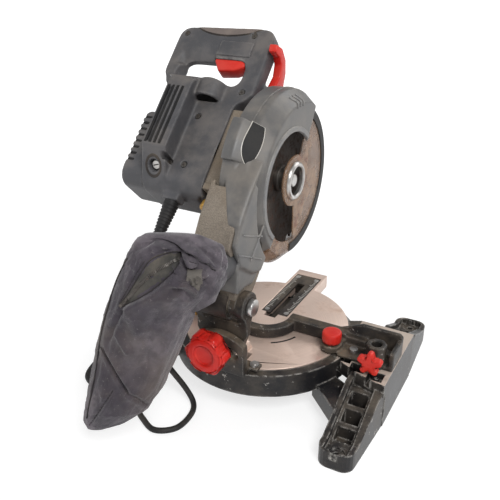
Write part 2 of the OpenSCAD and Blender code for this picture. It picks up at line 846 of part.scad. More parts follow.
module pivot_nut() {
  color(bare_steel) at_table() translate([0, pivot_y, pivot_z]) difference() {
    translate([cheek_right, 0, 0]) rotate([0, 90, 0]) cylinder(r = pivot_r + 5, h = 7, $fn = 6);
    bar_x(0, 100, pivot_r + seat_gap);
  }
}

function coil_spring(x, r, pitch, turns) =
  [for (i = [0:8*turns]) let(a = 45*i) [x + pitch*i/8, r*cos(a), r*sin(a)]];

module torsion_spring() {
  color(bare_steel) at_table() translate([0, pivot_y, pivot_z])
    tube(coil_spring(spring_x, spring_r, spring_pitch, spring_turns), spring_wire/2, 6);
}

module spring_cover() {
  color(rubber) at_table() translate([0, pivot_y, pivot_z])
    turn_x(20, 138, [[cover_in, barrel_x0 + 10], [cover_r, barrel_x0 + 10],
      [cover_r, cheek_right - cheek_t], [cover_in, cheek_right - cheek_t]]);
}

// Pin that holds the head down for carrying
module lock_pin() {
  color(brass) at_table() translate([0, lock_y, lock_z]) {
    bar_x(cheek_right - 22, cheek_right + lock_travel + 4, lock_pin_d/2);
    bar_x(cheek_right + lock_travel + rest_gap, cheek_right + lock_travel + 12, 7);
  }
}

// Head casting: arbor boss, gear case, arm and pivot barrel
case_y0 = -62;
case_y1 = 50;
case_z0 = -38;
case_z1 = 36;
case_r = 37;
case_outline = round_rect(case_y0, case_z0, case_y1, case_z1, 14, 5);
arm_clear = upper_r + block_h + rest_gap;
arm_outline = [[44, pivot_z - 8], [78, pivot_z - barrel_r], [pivot_y, pivot_z - barrel_r],
  [pivot_y + barrel_r, pivot_z], [pivot_y + 4, pivot_z + barrel_r], [92, pivot_z + 44],
  [86, pivot_z + 82], [56, pivot_z + 94], [10, pivot_z + 104]];
tail_outline = [[20, arbor_z - 2], [64, arbor_z - 6], [77, arbor_z + 12], [88, arbor_z + 46],
  [80, arbor_z + 76], [56, arbor_z + 87], [6, arbor_z + 92], [0, arbor_z + 60]];

module to_motor() { translate([0, motor_y, motor_z]) rotate([-handle_rise, 0, 0]) children(); }
module to_arbor() { translate([0, arbor_y, arbor_z]) children(); }

module head_casting() {
  color(cast_alloy) difference() {
    head() difference() {
      union() {
        to_arbor() bar_x(boss_x, guard_x + 1, boss_or);
        to_arbor() bar_x(guard_x + step, case_x - step, case_r);
        to_motor() prism_x(guard_x, case_x, case_outline);
        prism_x(guard_x + 2*step, case_x - 2*step, [[arbor_y + 20, arbor_z - 26], [40, pivot_z - 20], [84, pivot_z - 16],
          [84, pivot_z + 38], [62, pivot_z + 50], [16, pivot_z + 82], [arbor_y + 30, arbor_z + 60]]);
        difference() {
          prism_x(barrel_x0, barrel_x1, arm_outline);
          to_arbor() bar_x(-100, guard_x + 3*step, arm_clear);
        }
        translate([0, pivot_y, pivot_z]) bar_x(barrel_x0, barrel_x1, barrel_r);
      }
      translate([0, pivot_y, pivot_z]) {
        bar_x(-100, 100, pivot_r + run_fit);
        bar_x(barrel_x1, 100, cheek_r + 2);
        ring_x(spring_x - spring_wire, spring_x + spring_pitch*spring_turns + spring_wire,
          cover_r + 1, barrel_r - 0.2);
      }
      to_arbor() {
        bar_x(-100, 100, arbor_r + 3);
        bar_x(boss_x - 1, boss_x + 1 + bearing_t + 1, arbor_bearing_r + seat_gap);
        bar_x(gear_x - 2, 100, (gear_teeth*gear_module)/2 + tooth_add + 1.5);
      }
      to_motor() bar_x(gear_x - 2, 100, (pinion_teeth*gear_module)/2 + tooth_add + 3);
      for (p = cover_screw_at)
        to_motor() translate([0, p[0], p[1]]) bar_x(case_x - 8, 100, 2.2 + seat_gap);
    }
    port_axis() bar_y(pivot_y - 120, pivot_y + 60, port_d/2 - port_wall);
    port_axis() bar_y(port_y0, pivot_y + 60, port_d/2 + seat_gap);
  }
}
cover_screw_at = [[-50, -26], [-50, 24], [40, 24], [40, -26]];

// A point on the sloping shoulder of the guard, at a distance from the arbor
function slope_at(r) = [r, upper_x0 + (r - upper_step)*(shoulder_x - upper_x0)/(upper_r - upper_step)];

// Upper guard: domed shell over the blade, raised blocks on its rim and a tail plate beside the arm
module guard_shell() {
  to_arbor() {
    turn_x(upper_from, upper_to, [[face_in, upper_x0], [upper_step, upper_x0], [upper_r, shoulder_x],
      [upper_r, guard_x], [boss_or + 3, guard_x], [boss_or + 3, guard_x - guard_wall],
      [upper_in, guard_x - guard_wall], [upper_in, shoulder_x + 1],
      [upper_step - 1.2, upper_x0 + guard_wall], [face_in, upper_x0 + guard_wall]]);
    turn_x(block_from, block_to, [[upper_step, upper_x0], slope_at(upper_r + block_h),
      [upper_r + block_h, guard_x], [upper_r - 1, guard_x], [upper_r - 1, shoulder_x + 1]]);
    turn_x(rib_from, block_from, [[upper_r - 1, shoulder_x + 6], [upper_r + rib_h, shoulder_x + 12],
      [upper_r + rib_h, guard_x], [upper_r - 1, guard_x]]);
  }
}

module port_axis() { at_table() translate([port_x, 0, port_z]) children(); }

module upper_guard() {
  color(grey_plastic) difference() {
    head() difference() {
      union() {
        guard_shell();
        difference() {
          prism_x(upper_x0, barrel_x0, tail_outline);
          to_arbor() bar_x(upper_x0 - 1, guard_x, upper_in);
        }
      }
      translate([0, arbor_y + opening_y, arbor_z + opening_z]) bar_x(upper_x0 - 1, upper_x0 + 8, opening_r);
    }
    port_axis() bar_y(pivot_y - 120, pivot_y + 60, port_d/2 - port_wall);
    port_axis() bar_y(port_y0, pivot_y + 60, port_d/2 + seat_gap);
  }
}

// Plain plate on the shoulder of the guard
module guard_plate() {
  low = slope_at(upper_step + 4);
  high = slope_at(upper_r + block_h - 2.5);
  out = unit([high[1] - low[1], low[0] - high[0]]);
  color(rubber) head() to_arbor() turn_x(block_from + 2, block_to - 1, [low + 0.15*out, high + 0.15*out,
    high + 0.9*out, low + 0.9*out]);
}

// Cover between the gears and the motor
module gearbox_cover() {
  color(cast_alloy) head() difference() {
    union() {
      to_arbor() bar_x(case_x + step, cover_x - step, case_r);
      to_motor() prism_x(case_x, cover_x, case_outline);
    }
    to_arbor() {
      bar_x(0, tail_bearing_x + tail_bearing_t + 0.5, tail_bearing_r + seat_gap);
      bar_x(0, 100, arbor_tail_r + 1);
    }
    to_motor() {
      bar_x(case_x + 1, 100, front_bearing_r + seat_gap);
      bar_x(0, 100, shaft_r + 1.5);
    }
    for (p = cover_screw_at)
      to_motor() translate([0, p[0], p[1]]) bar_x(0, 100, 2.2 + seat_gap);
  }
}

module gearbox_screws() {
  color(bare_steel) head() for (p = cover_screw_at) to_motor() translate([0, p[0], p[1]])
    bar_x(case_x - 7, cover_x, 2.2);
}

// Lower guard: clear shell that swings up inside the upper guard
module lower_guard() {
  color(smoke) at_arbor() {
    turn_x(lower_from, lower_to, [[lower_face_in, lower_x0], [lower_step, lower_x0],
      [lower_r, shoulder_x + 0.4], [lower_r, lower_x1], [boss_or + 1, lower_x1],
      [boss_or + 1, lower_x1 - lower_wall], [lower_in, lower_x1 - lower_wall], [lower_in, shoulder_x + 2],
      [lower_step - 1, lower_x0 + lower_wall], [lower_face_in, lower_x0 + lower_wall]]);
    turn_x(lower_from + step, lower_face_to, [[hub_r + 4, face_x0], [lower_face_in + 1, face_x0],
      [lower_face_in + 1, face_x1], [hub_r + 4, face_x1]]);
    ring_x(face_x0 - 2*step, face_x1 + 2*step, hub_r + 6, hub_r);
    ring_x(lower_x1 - lower_wall - step, lower_x1 - step, boss_or + 7, boss_or + run_fit);
  }
}

module lower_guard_edge() {
  color(rubber) at_arbor()
    turn_x(lower_from + 4, lower_to - 40, [[lower_step - 6, lower_x0 - 1.2],
      [lower_step - 0.5, lower_x0 - 1.2], [lower_step - 0.5, lower_x0], [lower_step - 6, lower_x0]]);
}

// Blade with gullets, and what clamps it on the arbor
module saw_blade() {
  color(bare_steel) at_arbor() difference() {
    union() {
      bar_x(-blade_t/2, blade_t/2, blade_r - 1.2);
      for (i = [0:blade_teeth - 1])
        rotate([360*i/blade_teeth, 0, 0])
          box([-tooth_kerf/2, -1.6, blade_r - tooth_h], [tooth_kerf/2, 1.2, blade_r]);
    }
    for (i = [0:blade_teeth - 1])
      rotate([360*(i + 0.28)/blade_teeth, 0, 0]) translate([0, 0, blade_r - 2]) bar_x(-10, 10, 6);
    bar_x(-10, 10, arbor_r + seat_gap/2);
  }
}

module inner_flange() {
  color(bare_steel) at_arbor() ring_x(blade_t/2, blade_t/2 + flange_t, flange_d/2, arbor_r + seat_gap/2);
}

module outer_flange() {
  color(bare_steel) at_arbor() ring_x(-blade_t/2 - flange_t, -blade_t/2, flange_d/2, arbor_r/2 + seat_gap);
}

module arbor_bolt() {
  color(bare_steel) at_arbor() {
    bar_x(-blade_t/2 - flange_t - bolt_head_t, -blade_t/2 - flange_t, bolt_head_r);
    bar_x(-blade_t/2 - flange_t - eps, blade_t/2 + 8, arbor_r/2);
  }
}

module arbor_shaft() {
  color(bare_steel) at_arbor() difference() {
    union() {
      bar_x(-blade_t/2, gear_x + gear_face, arbor_r);
      bar_x(gear_x + gear_face - eps, tail_bearing_x + tail_bearing_t, arbor_tail_r);
      bar_x(blade_t/2 + flange_t, boss_x + 1, arbor_r + 2);
    }
    bar_x(-50, blade_t/2 + 9, arbor_r/2 + seat_gap/2);
  }
}

module arbor_bearings() {
  color(bare_steel) at_arbor() {
    ring_x(boss_x + 1, boss_x + 1 + bearing_t, arbor_bearing_r, arbor_r + run_fit);
    ring_x(tail_bearing_x, tail_bearing_x + tail_bearing_t, tail_bearing_r, arbor_tail_r + run_fit);
  }
}

// Gears, in mesh at rest
module spur_gear(teeth, x0, x1, bore, turn) {
  difference() {
    translate([x0, 0, 0]) rotate([90, 0, 90]) rotate([0, 0, turn]) linear_extrude(x1 - x0)
      polygon(gear_points(teeth));
    bar_x(x0 - 1, x1 + 1, bore);
  }
}

module driven_gear() {
  color(bare_steel) at_arbor()
    spur_gear(gear_teeth, gear_x, gear_x + gear_face, arbor_r + seat_gap/2, gear_dir);
}

module armature_shaft() {
  color(bare_steel) at_motor() {
    rotate([handle_rise, 0, 0]) translate([gear_x - 0.5, 0, 0]) rotate([90, 0, 90])
      rotate([0, 0, gear_dir + 180 + 180/pinion_teeth]) linear_extrude(gear_face + 1)
        polygon(gear_points(pinion_teeth));
    bar_x(gear_x + gear_face, case_x + 1 + bearing_t, shaft_r - 1.6);
    bar_x(case_x + 1, comm_x + comm_len + 2, shaft_r);
    bar_x(comm_x, rear_bearing_x + rear_bearing_t, rear_shaft_r);
  }
}

module armature_core() {
  color(copper) at_motor() ring_x(core_x, core_x + stator_len, armature_d/2, shaft_r + seat_gap/2);
}

module commutator() {
  color(copper) at_motor() ring_x(comm_x, comm_x + comm_len, comm_r, shaft_r + seat_gap/2);
}

// Fan with the notched disc that the spindle lock drops into
module motor_fan() {
  color(dark_plastic) at_motor() difference() {
    union() {
      bar_x(disc_x, fan_x + 2, disc_r);
      bar_x(fan_x, fan_x + 2, fan_r);
      for (a = [0:30:330])
        rotate([a, 0, 0]) box([fan_x + 1.9, -1, 12], [fan_x + fan_t, 1, fan_r - 0.5]);
      bar_x(fan_x + 1.9, fan_x + fan_t, 13);
    }
    bar_x(0, 200, shaft_r + seat_gap/2);
    for (a = [0:90:270])
      translate([lock_x, 0, 0]) rotate([lock_dir + a, 0, 0]) bar_y(shaft_r + 2, disc_r + 5, lock_hole_r);
  }
}

module motor_bearings() {
  color(bare_steel) at_motor() {
    ring_x(case_x + 1, cover_x, front_bearing_r, shaft_r + run_fit);
    ring_x(rear_bearing_x, rear_bearing_x + rear_bearing_t, rear_bearing_r, rear_shaft_r + run_fit);
  }
}

module stator() {
  color(copper) at_motor() ring_x(core_x, core_x + stator_len, stator_d/2, armature_d/2 + 1.2);
}

// Brushes and the caps over them
module brush_sides() {
  for (a = [brush_dir, brush_dir + 180])
    translate([brush_x, 0, 0]) rotate([a, 0, 0]) children();
}

module brushes() {
  color(rubber) at_motor() brush_sides()
    box([-brush_w/2, comm_r + rest_gap, -brush_w/2], [brush_w/2, comm_r + rest_gap + brush_len, brush_w/2]);
}

module brush_caps() {
  color(rubber) at_motor() brush_sides() {
    bar_y(brush_cap_out - 5, brush_cap_out, brush_cap_r);
    bar_y(comm_r + rest_gap + brush_len, brush_cap_out - 5 + eps, brush_w/2);
  }
}

// Motor housing and handle
house_outline = round_rect(house_y0, house_z0, house_y1, house_z1, house_round, 6);
block_y0 = finger_y1 + step;
block_outline = [[block_y0, part_z], [block_y0, house_z1 + 14], [block_y0 + 12, block_top], [18, block_top],
  [58, house_z1 - 6], [house_y1 - 2, part_z]];
handle_outline = concat(
  [[cover_x, -30], [cover_x, neck_y + 6]],
  arc([handle_x0 + 18, neck_y - 8], 18, 150, 180, 3),
  arc([handle_x0 + corner_round, handle_y0 + corner_round], corner_round, 180, 270, 6),
  arc([handle_x1 - corner_round, handle_y0 + corner_round], corner_round, 270, 360, 6),
  [[handle_x1, finger_y1 - 12], [handle_x1 - 18, finger_y1 + 12], [block_x1, house_y0 - 2],
    [block_x1, -30]]);

module handle_body() {
  difference() {
    linear_extrude(handle_t) polygon(handle_outline);
    translate([0, 0, -1]) linear_extrude(handle_t + 2)
      polygon(round_rect(handle_x0 + post_t, finger_y0, handle_x1 - left_post_t, finger_y1,
        finger_round, 6));
  }
}

module housing_body() {
  handle_body();
  prism_x(cover_x, end_x, house_outline);
  prism_x(block_x0, block_x1, block_outline);
  translate([hood_x, 0, house_z1 - 4]) bar_y(hood_y0, hood_y1, hood_r);
  translate([cord_x - 12, house_y1 - 2, part_z - 10]) cube([24, 10, 20]);
}

module housing_cuts() {
  bar_x(cover_x - 1, end_x + 1, bore_r);
  box([trigger_x0 - 0.5, switch_y1 - trigger_travel - 0.5, part_z - trigger_h/2 - 0.5],
    [trigger_x1 + 0.5, finger_y0 + 5, part_z + trigger_h/2 + 0.5]);
  box([switch_x0 - seat_gap, switch_y0 - seat_gap, part_z - trigger_h/2 - seat_gap],
    [trigger_x1, switch_y1 - trigger_travel, part_z + trigger_h/2 + seat_gap]);
  translate([hood_x, 0, house_z1 - 4]) bar_y(hood_y0 + hood_wall, hood_y1 + 1, hood_r - hood_wall);
  for (x = [126, 134, 142])
    box([x - 2, -67, block_top - 6], [x + 2, 15, block_top + 1]);
  for (p = screw_at) translate([p[0], p[1], 0]) {
    translate([0, 0, p[2] - 0.5]) cylinder(r = screw_r + seat_gap, h = 200);
    translate([0, 0, house_z1 - screw_sink]) cylinder(r = screw_head_r + 0.3, h = 60);
  }
  brush_sides() {
    bar_y(0, 100, brush_w/2 + 3);
    bar_y(brush_cap_out - 5, 100, brush_cap_r + seat_gap);
  }
  translate([lock_x, 0, 0]) rotate([lock_dir, 0, 0]) {
    bar_y(0, 100, lock_pin_r + run_fit);
    bar_y(lock_out - lock_stroke - 1, 100, lock_head_r + 0.5);
  }
  translate([cord_x, 0, part_z]) bar_y(40, 100, cord_d/2 + 1);
}

module housing_top() {
  color(grey_plastic) at_motor() difference() {
    intersection() {
      housing_body();
      box([0, -300, part_z], [400, 300, 300]);
    }
    housing_cuts();
  }
}

module housing_bottom() {
  color(grey_plastic) at_motor() {
    difference() {
      intersection() {
        housing_body();
        box([0, -300, -300], [400, 300, part_z]);
      }
      housing_cuts();
    }
    translate([0, lever_y, lever_z]) bar_x(lever_x0 - 1, handle_x0 + 1, lever_pin_r);
  }
}

module housing_screws() {
  color(bare_steel) at_motor() for (p = screw_at) translate([p[0], p[1], 0]) {
    translate([0, 0, p[2]]) cylinder(r = screw_r, h = house_z1 - screw_sink - p[2] + eps);
    translate([0, 0, house_z1 - screw_sink]) cylinder(r = screw_head_r, h = 2.4);
  }
}

// End cap with its air slits
module end_cap() {
  color(grey_plastic) at_motor() difference() {
    prism_x(end_x, cap_x, round_rect(house_y0 + 2, house_z0 + 2, house_y1 - 2, house_z1 - 2,
      house_round - 2, 6));
    bar_x(end_x - 1, rear_bearing_x - 1, bore_r - 4);
    bar_x(end_x - 1, rear_bearing_x + rear_bearing_t, rear_bearing_r + seat_gap);
    for (i = [0:7])
      box([cap_x - 12, -34 + 9*i, house_z1 - 8], [cap_x + 1, -30 + 9*i, house_z1 + 1]);
    brush_sides() bar_y(0, 100, brush_w/2 + 3);
  }
}

module grip_pad() {
  color(smoke) at_motor() prism_y(handle_y0 - 2, handle_y0,
    [for (a = [0:10:350]) [handle_x0 + handle_w/2 + 52*cos(a), part_z + 4 + 13*sin(a)]]);
}

module switch() {
  color(rubber) at_motor() box([switch_x0, switch_y0, part_z - trigger_h/2],
    [trigger_x1 - seat_gap, switch_y1 - trigger_travel, part_z + trigger_h/2]);
}

module trigger() {
  color(red_plastic) at_motor() translate([0, 0, part_z - trigger_h/2]) linear_extrude(trigger_h)
    polygon([[trigger_x0, switch_y1 + rest_gap], [trigger_x1, switch_y1 + rest_gap],
      [trigger_x1, finger_y0 + 2], [trigger_x1 - 10, finger_y0 + trigger_drop],
      [trigger_x0 + 12, finger_y0 + trigger_drop - 3], [trigger_x0, finger_y0 + 7]]);
}

// Curved lever beside the handle that frees the lower guard
module guard_lever() {
  color(red_plastic) at_motor() difference() {
    prism_x(lever_x0, lever_x1, concat(arc([lever_y, lever_z], 9, -70, 110, 8),
      [[-128, 13], [-141, 20], [-146, 30], [-143, 46], [-152, 49], [-158, 32], [-154, 14], [-142, 1],
        [-126, -6]]));
    translate([0, lever_y, lever_z]) bar_x(0, 100, lever_pin_r + run_fit);
  }
}

module spindle_lock() {
  color(copper) at_motor() translate([lock_x, 0, 0]) rotate([lock_dir, 0, 0]) {
    bar_y(lock_tip, lock_out + 1, lock_pin_r);
    bar_y(lock_out, lock_out + lock_cap, lock_head_r);
  }
}

// Dust port and the closed shape of the bag
module dust_port() {
  color(grey_plastic) port_axis() difference() {
    union() {
      bar_y(port_y0 + seat_gap, port_y1, port_d/2);
      bar_y(port_y1 - 4, port_y1, port_d/2 + 1.5);
    }
    bar_y(port_y0 - 1, port_y1 + 1, port_d/2 - port_wall);
  }
}

bag_points = [[4, 184, 212, 28], [48, 188, 204, 38], [72, 200, 150, 46], [86, 228, 92, 40],
  [96, 250, 48, 26]];
module dust_bag() {
  color(cloth) at_table() {
    translate([port_x, 0, port_z]) difference() {
      bar_y(port_y1 + rest_gap, port_y1 + 12, port_d/2 + 2);
      bar_y(port_y1 - 1, port_y1 + 6, port_d/2 - port_wall);
    }
    for (i = [0:len(bag_points) - 2]) hull() for (p = [bag_points[i], bag_points[i + 1]])
      translate([p[0], p[1], p[2]]) sphere(r = p[3], $fn = 24);
  }
}

// Strain relief where the cord leaves the housing
module cord_boot() {
  color(rubber) at_motor() translate([cord_x, gland_y, part_z]) rotate([-90, 0, 0])
    cylinder(r1 = boot_r, r2 = boot_tip_r, h = boot_len);
}

// Coil: spirals in on the bench, climbs a layer and spirals out again
coil_centre = [260, -55];
coil_turns = 4;
coil_in = 34;
coil_step = 9.3;
coil_layer = 8.2;
coil_z = 4;
function climb(t) = t < 1.75 ? 0 : t > 2.25 ? 1 : (t - 1.75)*2;
function coil_radius(t) = coil_in + coil_step*max(abs(t - coil_turns/2) - 0.25, 0);
function coil_point(t) = [coil_centre[0] + coil_radius(t)*cos(180 + 360*t),
  coil_centre[1] + coil_radius(t)*sin(180 + 360*t), coil_z + coil_layer*climb(t)];
coil_path = [for (i = [0:24*coil_turns]) coil_point(i/24)];
coil_start = coil_path[0];
coil_end = coil_path[len(coil_path) - 1];
plug_r = 15;
plug_rise = plug_r + 0.3 - coil_end[2];
coil_tail = [[0, -12, 0.2*plug_rise], [0, -26, 0.8*plug_rise], [0, -36, plug_rise],
  [0, -36 - cord_d, plug_rise]];
coil_ends = concat([coil_start + [0, cord_d, 0]], coil_path, [for (p = coil_tail) coil_end + p]);
coil_apart = min([for (i = [0:len(coil_path) - 13], j = [i + 12:len(coil_path) - 1])
  norm(coil_path[i] - coil_path[j])]);
echo(coil_self_gap = coil_apart - cord_d);

module cord_coil() {
  color(rubber) tube(coil_ends, cord_d/2, 6);
}

// Where the strain relief ends, and the way the cord leaves it
function raise(y, z) = [pivot_y + (y - pivot_y)*cos(chop_deg) + (z - pivot_z)*sin(chop_deg),
  pivot_z - (y - pivot_y)*sin(chop_deg) + (z - pivot_z)*cos(chop_deg)];
tilt = chop_deg + handle_rise;
motor_rest = raise(motor_y, motor_z);
boot_end = gland_y + boot_len;
cord_seat = 0.05;
cord_from = boot_end + cord_seat;
cord_dir = [0, cos(tilt), -sin(tilt)];
cord_start = [cord_x, table_back + motor_rest[0] + cord_from*cos(tilt) + part_z*sin(tilt),
  motor_rest[1] - cord_from*sin(tilt) + part_z*cos(tilt)];

// Mains cord: hand-chosen points between the strain relief and the coil
cord_route = [[105, 140, 180], [102, 150, 140], [95, 152, 100], [78, 144, 58], [54, 136, 20],
  [38, 142, 4.4], [29, 164, 4], [32, 192, 4], [54, 207, 4], [80, 196, 4], [104, 181, 4],
  [136, 175, 4], [170, 174, 4], [196, 164, 4], [207, 140, 4], [210, 106, 4], [210, 64, 4], [210, 22, 4],
  [210, -14, 4]];
cord_path = concat([cord_start],
  spline(concat([cord_start + cord_d*cord_dir], cord_route, [coil_start + [0, 2*cord_d, 0]]), 3),
  [coil_start + [0, cord_d, 0]]);

module power_cord() {
  color(rubber) tube(cord_path, cord_d/2, 8);
}

// Plug at the end of the cord, with its three pins
plug_at = coil_end + coil_tail[len(coil_tail) - 1];
module mains_plug() {
  color(rubber) translate(plug_at) rotate([90, 0, 0]) {
    cylinder(r1 = cord_d/2 + 1.2, r2 = 8, h = 26);
    translate([0, 0, 25]) cylinder(r = plug_r, h = 16);
    for (p = [[-6, 4], [6, 4], [0, -7]])
      translate([p[0] - 1, p[1] - 3, 40]) cube([2, 6, 18]);
  }
}

base_casting();
swivel_bolt();
mitre_scale();
fence();
fence_bolts();
mitre_knob_left();
mitre_knob_right();
clamp_knob_left();
clamp_knob_right();
turntable();
kerf_plate();
kerf_screws();
bevel_quadrant();
bevel_stops();
bevel_pin();
bevel_bracket();
bevel_stud();
bevel_knob();
pivot_bolt();
pivot_nut();
torsion_spring();
spring_cover();
lock_pin();
head_casting();
upper_guard();
guard_plate();
gearbox_cover();
gearbox_screws();
lower_guard();
lower_guard_edge();
saw_blade();
inner_flange();
outer_flange();
arbor_bolt();
arbor_shaft();
arbor_bearings();
driven_gear();
armature_shaft();
armature_core();
commutator();
motor_fan();
motor_bearings();
stator();
brushes();
brush_caps();
housing_top();
housing_bottom();
end_cap();
housing_screws();
grip_pad();
switch();
trigger();
guard_lever();
spindle_lock();
dust_port();
dust_bag();
cord_boot();
power_cord();
cord_coil();
mains_plug();
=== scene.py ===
"""Looks of a compound mitre saw: finishes, rounded castings, guards, dust bag, cord and small trim."""

from __future__ import annotations

import json
import logging
import math
from dataclasses import dataclass, replace
from enum import Enum
from typing import Callable, ClassVar, Dict, Iterable, List, Optional, Sequence, Tuple, Union

import bmesh
import bpy
import numpy as np
from mathutils import Matrix, Vector, noise
from mathutils.bvhtree import BVHTree

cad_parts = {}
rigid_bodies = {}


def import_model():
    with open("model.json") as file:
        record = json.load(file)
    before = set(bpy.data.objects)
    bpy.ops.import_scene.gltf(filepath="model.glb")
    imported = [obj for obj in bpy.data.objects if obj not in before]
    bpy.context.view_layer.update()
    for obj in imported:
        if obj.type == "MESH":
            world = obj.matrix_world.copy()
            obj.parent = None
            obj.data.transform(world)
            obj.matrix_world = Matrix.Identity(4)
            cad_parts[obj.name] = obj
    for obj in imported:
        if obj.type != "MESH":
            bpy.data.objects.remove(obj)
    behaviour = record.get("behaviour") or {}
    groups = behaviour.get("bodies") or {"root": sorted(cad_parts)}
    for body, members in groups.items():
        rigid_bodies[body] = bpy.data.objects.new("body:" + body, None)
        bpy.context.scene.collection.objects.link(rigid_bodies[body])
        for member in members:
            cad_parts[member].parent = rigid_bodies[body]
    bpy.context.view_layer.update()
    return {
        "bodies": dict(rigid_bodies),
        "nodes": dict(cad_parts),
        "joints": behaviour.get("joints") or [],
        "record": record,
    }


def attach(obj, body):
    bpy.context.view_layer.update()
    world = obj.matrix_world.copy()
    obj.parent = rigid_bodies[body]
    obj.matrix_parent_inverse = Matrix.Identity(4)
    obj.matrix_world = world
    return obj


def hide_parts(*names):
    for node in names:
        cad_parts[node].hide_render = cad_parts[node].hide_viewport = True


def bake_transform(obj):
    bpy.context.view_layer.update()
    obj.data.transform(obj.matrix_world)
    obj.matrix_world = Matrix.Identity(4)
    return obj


LOG = logging.getLogger("mitre_saw")
MM = 0.001
# Angles in degrees under which edges are shaded smooth
FLAT_ANGLE = 20.0
TRIM_ANGLE = 30.0
EDGE_ANGLE = 35.0
ROUND_ANGLE = 40.0
BEVEL_ANGLE = 50.0
SKIN_ANGLE = 60.0
THREAD_ANGLE = 80.0
CLOTH_ANGLE = 180.0
# Angle in degrees over which a solid's edges are rounded
ROUND_OVER = 28.0
BEVEL_SAMPLES = 4
Colour = Tuple[float, float, float]
Point = Tuple[float, float, float]
Value = Union["Sock", float, int, Tuple[float, ...]]
Field = Callable[[np.ndarray], np.ndarray]
Pair = Tuple[float, float]
Outline = Sequence[Pair]
Path = Sequence[Sequence[float]]
Shape = Tuple[list, list]
Obj = bpy.types.Object
Mesh = bpy.types.Mesh
Material = bpy.types.Material


# Sizes shared with the solids, in millimetres


@dataclass(frozen=True)
class SawSizes:
    """Sizes that place the looks on the saw's solids."""

    table_back: float = 7.5
    table_h: float = 67.5
    pivot_y: float = 112.0
    pivot_z: float = 158.0
    arm_len: float = 178.0
    chop: float = 36.5
    handle_rise: float = 8.5
    blade_r: float = 105.0
    blade_drop: float = 8.0
    gear_gap: float = 31.25
    gear_dir: float = 67.0
    cord_d: float = 7.5

    @property
    def arbor(self) -> Pair:
        """Y and Z of the arbor with the head lowered."""
        z = self.table_h + self.blade_r - self.blade_drop
        return self.pivot_y - math.sqrt(self.arm_len**2 - (z - self.pivot_z) ** 2), z

    @property
    def motor(self) -> Pair:
        """Find the motor axis with the head lowered.

        Returns:
            Y and Z.
        """
        y, z = self.arbor
        turn = math.radians(self.gear_dir)
        return y + self.gear_gap * math.cos(turn), z + self.gear_gap * math.sin(turn)


SIZES = SawSizes()


class Space(Enum):
    """Frames that the pieces are drawn in, in millimetres."""

    PART = "part"
    TABLE = "table"
    HEAD = "head"
    ARBOR = "arbor"
    MOTOR = "motor"

    def matrix(self) -> Matrix:
        """Find where the frame lies.

        Returns:
            Matrix from its millimetres to the part frame's metres.
        """
        scale = Matrix.Scale(MM, 4)
        table = Matrix.Translation((0, SIZES.table_back, 0))
        pivot = Vector((0, SIZES.pivot_y, SIZES.pivot_z))
        swing = Matrix.Rotation(math.radians(-SIZES.chop), 4, "X")
        head = table @ Matrix.Translation(pivot) @ swing @ Matrix.Translation(-pivot)
        if self is Space.PART:
            return scale
        if self is Space.TABLE:
            return scale @ table
        if self is Space.HEAD:
            return scale @ head
        if self is Space.ARBOR:
            return scale @ head @ Matrix.Translation((0, *SIZES.arbor))
        rise = Matrix.Rotation(math.radians(-SIZES.handle_rise), 4, "X")
        return scale @ head @ Matrix.Translation((0, *SIZES.motor)) @ rise


# Shader maths


class Sock:
    """A node's output with Python arithmetic, where each operator adds a Math node."""

    def __init__(self, shader: Shader, socket: bpy.types.NodeSocket) -> None:
        """Keep the shader and the socket."""
        self.shader = shader
        self.socket = socket

    def _math(self, operation: str, a: Value, b: Value) -> Sock:
        """Output of a Math node with an operation on two values."""
        return self.shader.node("ShaderNodeMath", {"operation": operation}, {0: a, 1: b})

    def __add__(self, other: Value) -> Sock:
        """Sum of two values."""
        return self._math("ADD", self, other)

    __radd__ = __add__

    def __sub__(self, other: Value) -> Sock:
        """Difference of two values."""
        return self._math("SUBTRACT", self, other)

    def __rsub__(self, other: Value) -> Sock:
        """Difference of two values."""
        return self._math("SUBTRACT", other, self)

    def __mul__(self, other: Value) -> Sock:
        """Product of two values."""
        return self._math("MULTIPLY", self, other)

    __rmul__ = __mul__

    def sin(self) -> Sock:
        """Sine of a value in radians."""
        return self._math("SINE", self, 0.0)

    def root(self) -> Sock:
        """Square root of a value."""
        return self._math("SQRT", self, 0.0)

    def step(self, low: float, high: float) -> Sock:
        """Smooth step from 0 at low to 1 at high."""
        settings = {"interpolation_type": "SMOOTHSTEP"}
        return self.shader.node("ShaderNodeMapRange", settings, {0: self, 1: low, 2: high})


